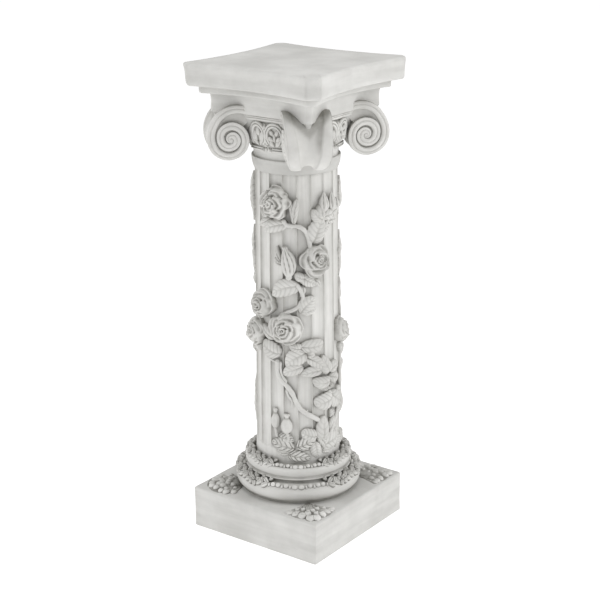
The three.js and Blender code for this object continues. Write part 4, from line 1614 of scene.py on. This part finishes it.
@dataclass
class ClimbingRose:
    """All the blooms, buds, hips, leaves and stems on the shaft."""

    roses: dict[str, Rose] = field(default_factory=lambda: {
        "rose_top": Rose(7.8, 583, 28, 12, 3, (-0.2, -0.14), ruffle=1.9),
        "rose_right": Rose(61.5, 486, 26.5, 40, 5, (0.12, 0.06)),
        "rose_left": Rose(-13.6, 409, 25, 66, 8),
        "rose_middle": Rose(21.2, 373, 28.5, 20, 12, (-0.14, -0.12)),
        "rose_low_left": Rose(-28, 358, 24, 5, 14, fine=120),
        "rose_far_left": Rose(-56, 346, 21, 25, 17, fine=120),
        "rose_far_right": Rose(117, 352, 23, 40, 21, fine=120),
        "rose_back_high": Rose(175, 540, 24, 20, 23, fine=100),
        "rose_back_low": Rose(210, 330, 24, 50, 29, fine=100),
        "rose_back_left": Rose(262, 455, 24, 15, 31, fine=100),
    })
    buds: tuple[Bud, ...] = (
        Bud((25.5, 452), (20, 511), 13.0, 0.5, 9, 2.8, -4.0, 0.36), Bud((74, 562), (73.5, 598), 9.0),
        Bud((88, 562), (86.5, 596), 8.6), Bud((97, 560), (99, 584), 7.0),
    )
    hips: tuple[Hip, ...] = (Hip(4.5, 194.0, 229.0, 7.6), Hip(21.0, 187.0, 222.0, 9.8))
    stems: tuple[Stem, ...] = (
        Stem(((18, 556), (24, 547), (37, 545), (45, 540), (50, 530), (53, 517), (55.5, 500)), 3.6, 3.4),
        Stem(((35, 450), (41, 438), (44, 427), (43, 419), (39, 411), (31, 404), (20, 398)), 3.6, 3.2),
        Stem(((9.5, 317), (9.2, 306), (10, 293), (15, 281), (23, 270), (29, 259), (33, 247), (38, 235),
              (45, 226), (54, 218), (68, 206)), 4.2, 4.0, 4),
        Stem(((14, 314), (13.8, 302), (16, 290), (22, 279)), 2.4, 2.2, 0),
        Stem(((-14, 329), (-5, 318), (6, 312)), 2.6, 2.2, 0),
        Stem(((21, 266), (24, 255), (29, 245), (28, 235)), 2.2, 1.4, 0),
        Stem(((7.5, 178), (5, 196)), 2.4, 2.4, 0), Stem(((24, 174), (21.5, 189)), 2.6, 2.8, 0),
        Stem(((84, 178), (98, 206), (108, 224), (114, 262), (122, 330)), 3.6, 3.0, 3),
        Stem(((64, 522), (70, 545), (74, 566)), 2.8, 2.4, 0),
        Stem(((74, 540), (84, 556), (88, 566)), 2.6, 2.2, 0),
        Stem(((-76, 166), (-79, 220), (-81, 280), (-72, 330)), 3.0, 2.6, 2),
        Stem(((-74, 362), (-79, 420), (-81, 490), (-78, 560), (-82, 604)), 2.8, 2.2, 3),
        Stem(((134, 366), (146, 420), (150, 480), (146, 540), (150, 590)), 2.8, 2.2, 3),
        Stem(((240, 172), (222, 212), (208, 262), (210, 320)), 3.6, 3.0, 3),
        Stem(((240, 172), (262, 240), (268, 330), (262, 440)), 3.4, 2.8, 4),
        Stem(((212, 342), (192, 400), (186, 470), (176, 526)), 3.2, 2.8, 4),
    )
    sprays: dict[str, tuple[Leaf, ...]] = field(default_factory=lambda: {
        "leaves_upper": foliage(
            (2, 556, -19, 541, 15, FAINT, 6.5, 1.0), (25, 548, -10, 532, 21, FINE, 5.2, 2.0, -4, 0.4),
            (33, 547, 37, 589, 12, FAINT, 6.2, 2.5, 1.5, 0.9),
            (32.5, 553, 28, 584, 9.5, FAINT, 5.4, 2.0, -1.0, 0.8),
            (58, 514, 71, 556, 31, FINE, 5.6, 1.0, 2, 0.5), (72, 552, 56, 570, 19, FAINT, 7.0, 0.5),
            (70, 552, 69, 577, 17, FAINT, 7.4), (70, 556, 93, 560, 18, FAINT, 6.6),
            (66, 532, 84, 541, 18, FAINT, 4.6), (84, 560, 104, 566, 15, FAINT, 5.5),
            (80, 548, 98, 548, 15, FAINT, 4.6), (61, 520, 52, 534, 11, FAINT, 3.6),
        ),
        "leaves_bud": foliage(
            (17, 484, 9, 510, 9, FAINT, 4.4), (18, 480, 6, 490, 10, FAINT, 3.8),
            (48, 458, 33, 466, 15, FAINT, 6.2, 0.0, 2, 0.5), (40, 462, 62, 445, 19, FINE, 5.6, 0.5, 0, 0.5),
            (56, 456, 68, 441, 11, FAINT, 4.2), (40, 445, 2.5, 427, 28, FINE, 6.2, 1.0, -6, 0.45),
            (41, 398, 60, 425, 25, FINE, 5.4, 1.0, 3, 0.5), (44, 398, 62, 404, 16, FAINT, 4.4),
            (43, 446, 43, 428, 8, FAINT, 3.6),
        ),
        "leaves_middle": foliage(
            (14, 327, -15, 344, 30, FINE, 6.4, 1.0, 3, 0.4), (6, 352, -16, 372, 18, FAINT, 4.5),
            (-20, 338, -38, 326, 17, FAINT, 5.0), (40, 341, 73, 343, 24, FAINT, 5.6, 0.5, -2, 0.75),
            (43, 338, 25, 344, 17, FAINT, 5.4), (49, 330, 21, 308, 29, FINE, 6.6, 1.0, -4, 0.5),
            (44, 306, 17, 292, 22, FAINT, 5.2, 0.5, -3, 0.5), (48, 322, 74, 296, 19, FINE, 6.0, 1.5, 3),
            (49, 326, 60, 326, 15, FAINT, 7.4), (72, 296, 40, 293, 19, FAINT, 5.6, 1.0, -2, 0.4),
            (85, 287, 71, 321, 22, FAINT, 6.6, 0.5, 3, 0.5), (85, 290, 104, 300, 20, FAINT, 5.0),
        ),
        "leaves_lower": foliage(
            (86, 276, 56, 281, 21, FAINT, 7.0, 0.5, 5, 0.6), (84, 280, 104, 268, 19, FAINT, 6.2),
            (80, 266, 69, 262, 7, FAINT, 5.6), (79, 268, 76, 259, 6, FAINT, 6.0),
            (83, 268, 84, 259, 6, FAINT, 5.6), (72, 266, 66, 270, 7, FAINT, 5.0),
            (90, 250, 58, 240, 30, FINE, 6.8, 0.5, 6, 0.6), (86, 250, 112, 230, 28, FINE, 6.6, 0.5, -5, 0.5),
            (98, 246, 114, 246, 17, FAINT, 5.0), (104, 228, 110, 204, 16, FAINT, 5.0),
            (88, 222, 86, 206, 10, FAINT, 3.6),
        ),
        "leaves_foot": foliage(
            (85, 184, 95, 208, 14, FAINT, 4.6), (88, 182, 108, 194, 15, FAINT, 4.6),
            (65, 180, 41, 191, 24, FINE, 4.8, 0.5, 3, 0.6), (8, 180, 31, 174, 18, BROAD, 4.6),
            (72, 168, 73, 214, 25, FAINT, 6.8, 0.5, 2, 0.6), (70, 160, 106, 168, 30, FINE, 5.4, 1.0, 3, 0.5),
            (32, 160, -1, 169, 23, BROAD, 6.0, 0.5, -2, 0.35),
            (34, 161, 61, 176, 21, BROAD, 5.8, 0.5, 2, 0.35), (65, 178, 76, 155, 14, FAINT, 4.4),
            (59, 171, 61, 141, 19, FINE, 7.2, 0.5, 0, 0.2), (25, 154, 5, 153, 13, FAINT, 3.0),
            (22, 149, 54, 141, 19, BROAD, 6.6, 0.5, 2, 0.3), (70, 152, 86, 146, 13, FAINT, 3.6),
        ),
        "leaves_left_edge": foliage(
            (-54, 560, -54, 620, 22, FINE, 4.4, -2.2), (-55, 588, -50, 538, 20, FINE, 2.4, -1.6),
            (-52, 474, -55, 530, 22, FINE, 2.4, -1.6), (-50, 496, -56, 448, 16, FINE, 1.4, -1.0),
            (-58, 330, -64, 304, 18, FINE, 3.0, -1.4), (-55, 214, -58, 270, 19, FINE, 1.6, -1.4),
            (-54, 236, -50, 184, 17, FINE, 2.2, -1.4), (-70, 574, -88, 600, 22, FINE, 5.0),
            (-68, 440, -86, 424, 22, FINE, 5.0),
        ),
        "leaves_right_edge": foliage(
            (126, 558, 124, 612, 18, FINE, 1.6, -1.4), (124, 468, 127, 520, 20, FINE, 1.6, -1.4),
            (125, 492, 122, 442, 15, FINE, 1.2, -1.0), (122, 402, 126, 440, 13, FAINT, 1.4, -1.0),
            (118, 330, 126, 300, 22, FINE, 5.4), (128, 300, 122, 272, 18, FAINT, 4.6),
            (122, 198, 126, 246, 19, FAINT, 5.2), (120, 170, 128, 144, 19, FINE, 4.8),
            (112, 168, 96, 148, 18, FINE, 4.6), (130, 330, 150, 318, 22, FINE, 5.0),
        ),
        "leaves_back": foliage(
            (186, 514, 208, 530, 23), (166, 518, 144, 504, 23), (190, 430, 168, 446, 23),
            (192, 424, 214, 412, 21), (200, 308, 182, 288, 23), (220, 310, 242, 296, 23),
            (262, 428, 286, 414, 23), (254, 432, 234, 444, 21), (266, 340, 288, 352, 21),
            (262, 250, 284, 238, 21), (226, 214, 204, 204, 23), (240, 180, 266, 190, 23, BROAD),
            (236, 176, 212, 166, 21, BROAD), (170, 566, 164, 592, 18), (250, 160, 278, 152, 19),
            (176, 172, 152, 182, 23, BROAD), (180, 170, 206, 176, 21), (172, 164, 160, 146, 16),
        ),
    })

    def build(self, workshop: Workshop) -> None:
        """Makes one piece of each bloom and of each spray, and one each of the buds, hips and stems."""
        workshop.piece("stems", [shell for stem in self.stems for shell in stem.shells()], Finish.CARVED)
        for name, leaves in self.sprays.items():
            workshop.piece(name, [leaf.shell() for leaf in leaves], Finish.CARVED, sharp=60)
        for name, rose in self.roses.items():
            workshop.piece(name, rose.shells(), Finish.ROSE, sharp=60)
        for name, group in (("buds", self.buds), ("hips", self.hips)):
            shells = [shell for item in group for shell in item.shells()]
            workshop.piece(name, shells, Finish.CARVED, sharp=60)


# Studio

def toward(azimuth: float, elevation: float) -> Vector:
    """The direction at an azimuth and an angle over the level, both in degrees."""
    a, e = math.radians(azimuth), math.radians(elevation)
    return Vector((math.sin(a) * math.cos(e), -math.cos(a) * math.cos(e), math.sin(e)))


@dataclass
class Studio:
    """A pale floor, soft light from all round and the camera at the photograph's angle.

    Attributes:
        azimuth: The camera's direction from the axis, in degrees.
        elevation: Its angle over the level, in degrees.
        distance: From its target, in metres.
        target_right: How far the target lies to the right of the axis, in metres.
        target_height: Its height, in metres.
        roll: Turn of the camera about its line of sight, in degrees.
        lens: Its focal length, in millimetres.
        sensor: Width of its sensor, in millimetres.
        lamps: Name of each area lamp, its azimuth, its elevation, its distance from the middle of the
            work and its side in metres, and its power in watts.
        lamp_target: Height of the point that the lamps look at, in metres.
        floor_reach: Half the floor's width, in metres.
        floor_glow: Strength of the floor's own light.
        sky: Strength of the white sky.
    """

    azimuth: float = 36.3065
    elevation: float = 18.121
    distance: float = 2.539
    target_right: float = 0.004736
    target_height: float = 0.39826
    roll: float = -0.3885
    lens: float = 91.49
    sensor: float = 36.0
    lamps: tuple[tuple[str, float, float, float, float, float], ...] = (
        ("key", 112, 30, 2.6, 1.4, 18.5), ("crown", 30, 80, 2.6, 1.4, 14.0),
        ("fill", -48, 26, 2.8, 1.2, 14.0), ("front", 50, 24, 2.8, 1.0, 2.0),
    )
    lamp_target: float = 0.45
    floor_reach: float = 12.0
    floor_glow: float = 0.72
    sky: float = 0.5

    def camera(self) -> None:
        """Places the camera from its azimuth, elevation, distance and roll about the target."""
        a, r = math.radians(self.azimuth), math.radians(self.roll)
        level = Vector((math.cos(a), math.sin(a), 0))
        back = toward(self.azimuth, self.elevation)
        upright = back.cross(level)
        right = level * math.cos(r) + upright * math.sin(r)
        up = upright * math.cos(r) - level * math.sin(r)
        target = level * self.target_right + Vector((0, 0, self.target_height))
        data = bpy.data.cameras.new("camera")
        data.lens, data.sensor_width = self.lens, self.sensor
        data.clip_start, data.clip_end = 0.1, 50.0
        camera = bpy.data.objects.new("camera", data)
        turn = Matrix((right, up, back)).transposed().to_4x4()
        camera.matrix_world = Matrix.Translation(target + back * self.distance) @ turn
        bpy.context.scene.collection.objects.link(camera)
        bpy.context.scene.camera = camera

    def lamp(self, name: str, azimuth: float, elevation: float, distance: float, size: float,
             watts: float) -> None:
        """Hangs a soft square lamp that looks at the middle of the work.

        Args:
            name: The lamp's name.
            azimuth: Its direction from the axis, in degrees.
            elevation: Its angle over the level, in degrees.
            distance: From the work's middle, in metres.
            size: Side of the lamp, in metres.
            watts: Its power.
        """
        data = bpy.data.lights.new(name, "AREA")
        data.size, data.energy = size, watts
        lamp = bpy.data.objects.new(name, data)
        away = toward(azimuth, elevation)
        lamp.location = Vector((0, 0, self.lamp_target)) + away * distance
        lamp.rotation_euler = away.to_track_quat("Z", "Y").to_euler()
        bpy.context.scene.collection.objects.link(lamp)

    def floor(self) -> None:
        """Lays the floor, a square of pale matt paint that glows a little."""
        mesh = bpy.data.meshes.new("floor")
        reach = self.floor_reach
        square = [(-reach, -reach, 0), (reach, -reach, 0), (reach, reach, 0), (-reach, reach, 0)]
        mesh.from_pydata(square, [], [(0, 1, 2, 3)])
        floor = bpy.data.objects.new("floor", mesh)
        bpy.context.scene.collection.objects.link(floor)
        paint = bpy.data.materials.new("floor_paint")
        paint.use_nodes = True
        shader = paint.node_tree.nodes["Principled BSDF"]
        shader.inputs["Base Color"].default_value = (0.6, 0.6, 0.6, 1)
        shader.inputs["Roughness"].default_value = 0.9
        shader.inputs["Emission Color"].default_value = (1, 1, 1, 1)
        shader.inputs["Emission Strength"].default_value = self.floor_glow
        mesh.materials.append(paint)

    def build(self) -> None:
        """Sets up floor, sky, lamps and camera."""
        self.floor()
        world = bpy.data.worlds.new("studio")
        world.use_nodes = True
        sky = world.node_tree.nodes["Background"]
        sky.inputs["Color"].default_value = (1.0, 1.0, 1.0, 1)
        sky.inputs["Strength"].default_value = self.sky
        bpy.context.scene.world = world
        bpy.context.scene.view_settings.view_transform = "Standard"
        for row in self.lamps:
            self.lamp(*row)
        self.camera()


def main() -> None:
    """Builds every part in order, from the ground up."""
    logging.basicConfig(level=logging.INFO, format="%(name)s %(message)s")
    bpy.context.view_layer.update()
    workshop = Workshop()
    parts = (
        Plinth(), BASE_ROLLS,
        Garland("lower_garland", 99.8, 103.4, scale=1.04), Garland("upper_garland", 83.3, 132.6, scale=0.9),
        CornerLeaf(45, ((-0.5, 0.9), (-0.5, 0.9))), CornerLeaf(135, ((-11.0, 0.7), (0.0, 0.95))),
        CornerLeaf(225), CornerLeaf(315, ((-11.0, 0.95), (-14.0, 0.7))),
        FlutedShaft(), ClimbingRose(), COLLAR_AND_BOWL, BeadRoll(), BowlArches(), SideMoulding(),
        *(Volute(azimuth) for azimuth in CORNERS), Abacus(),
    )
    for part in parts:
        part.build(workshop)
    Studio().build()


if __name__ == "__main__":
    main()
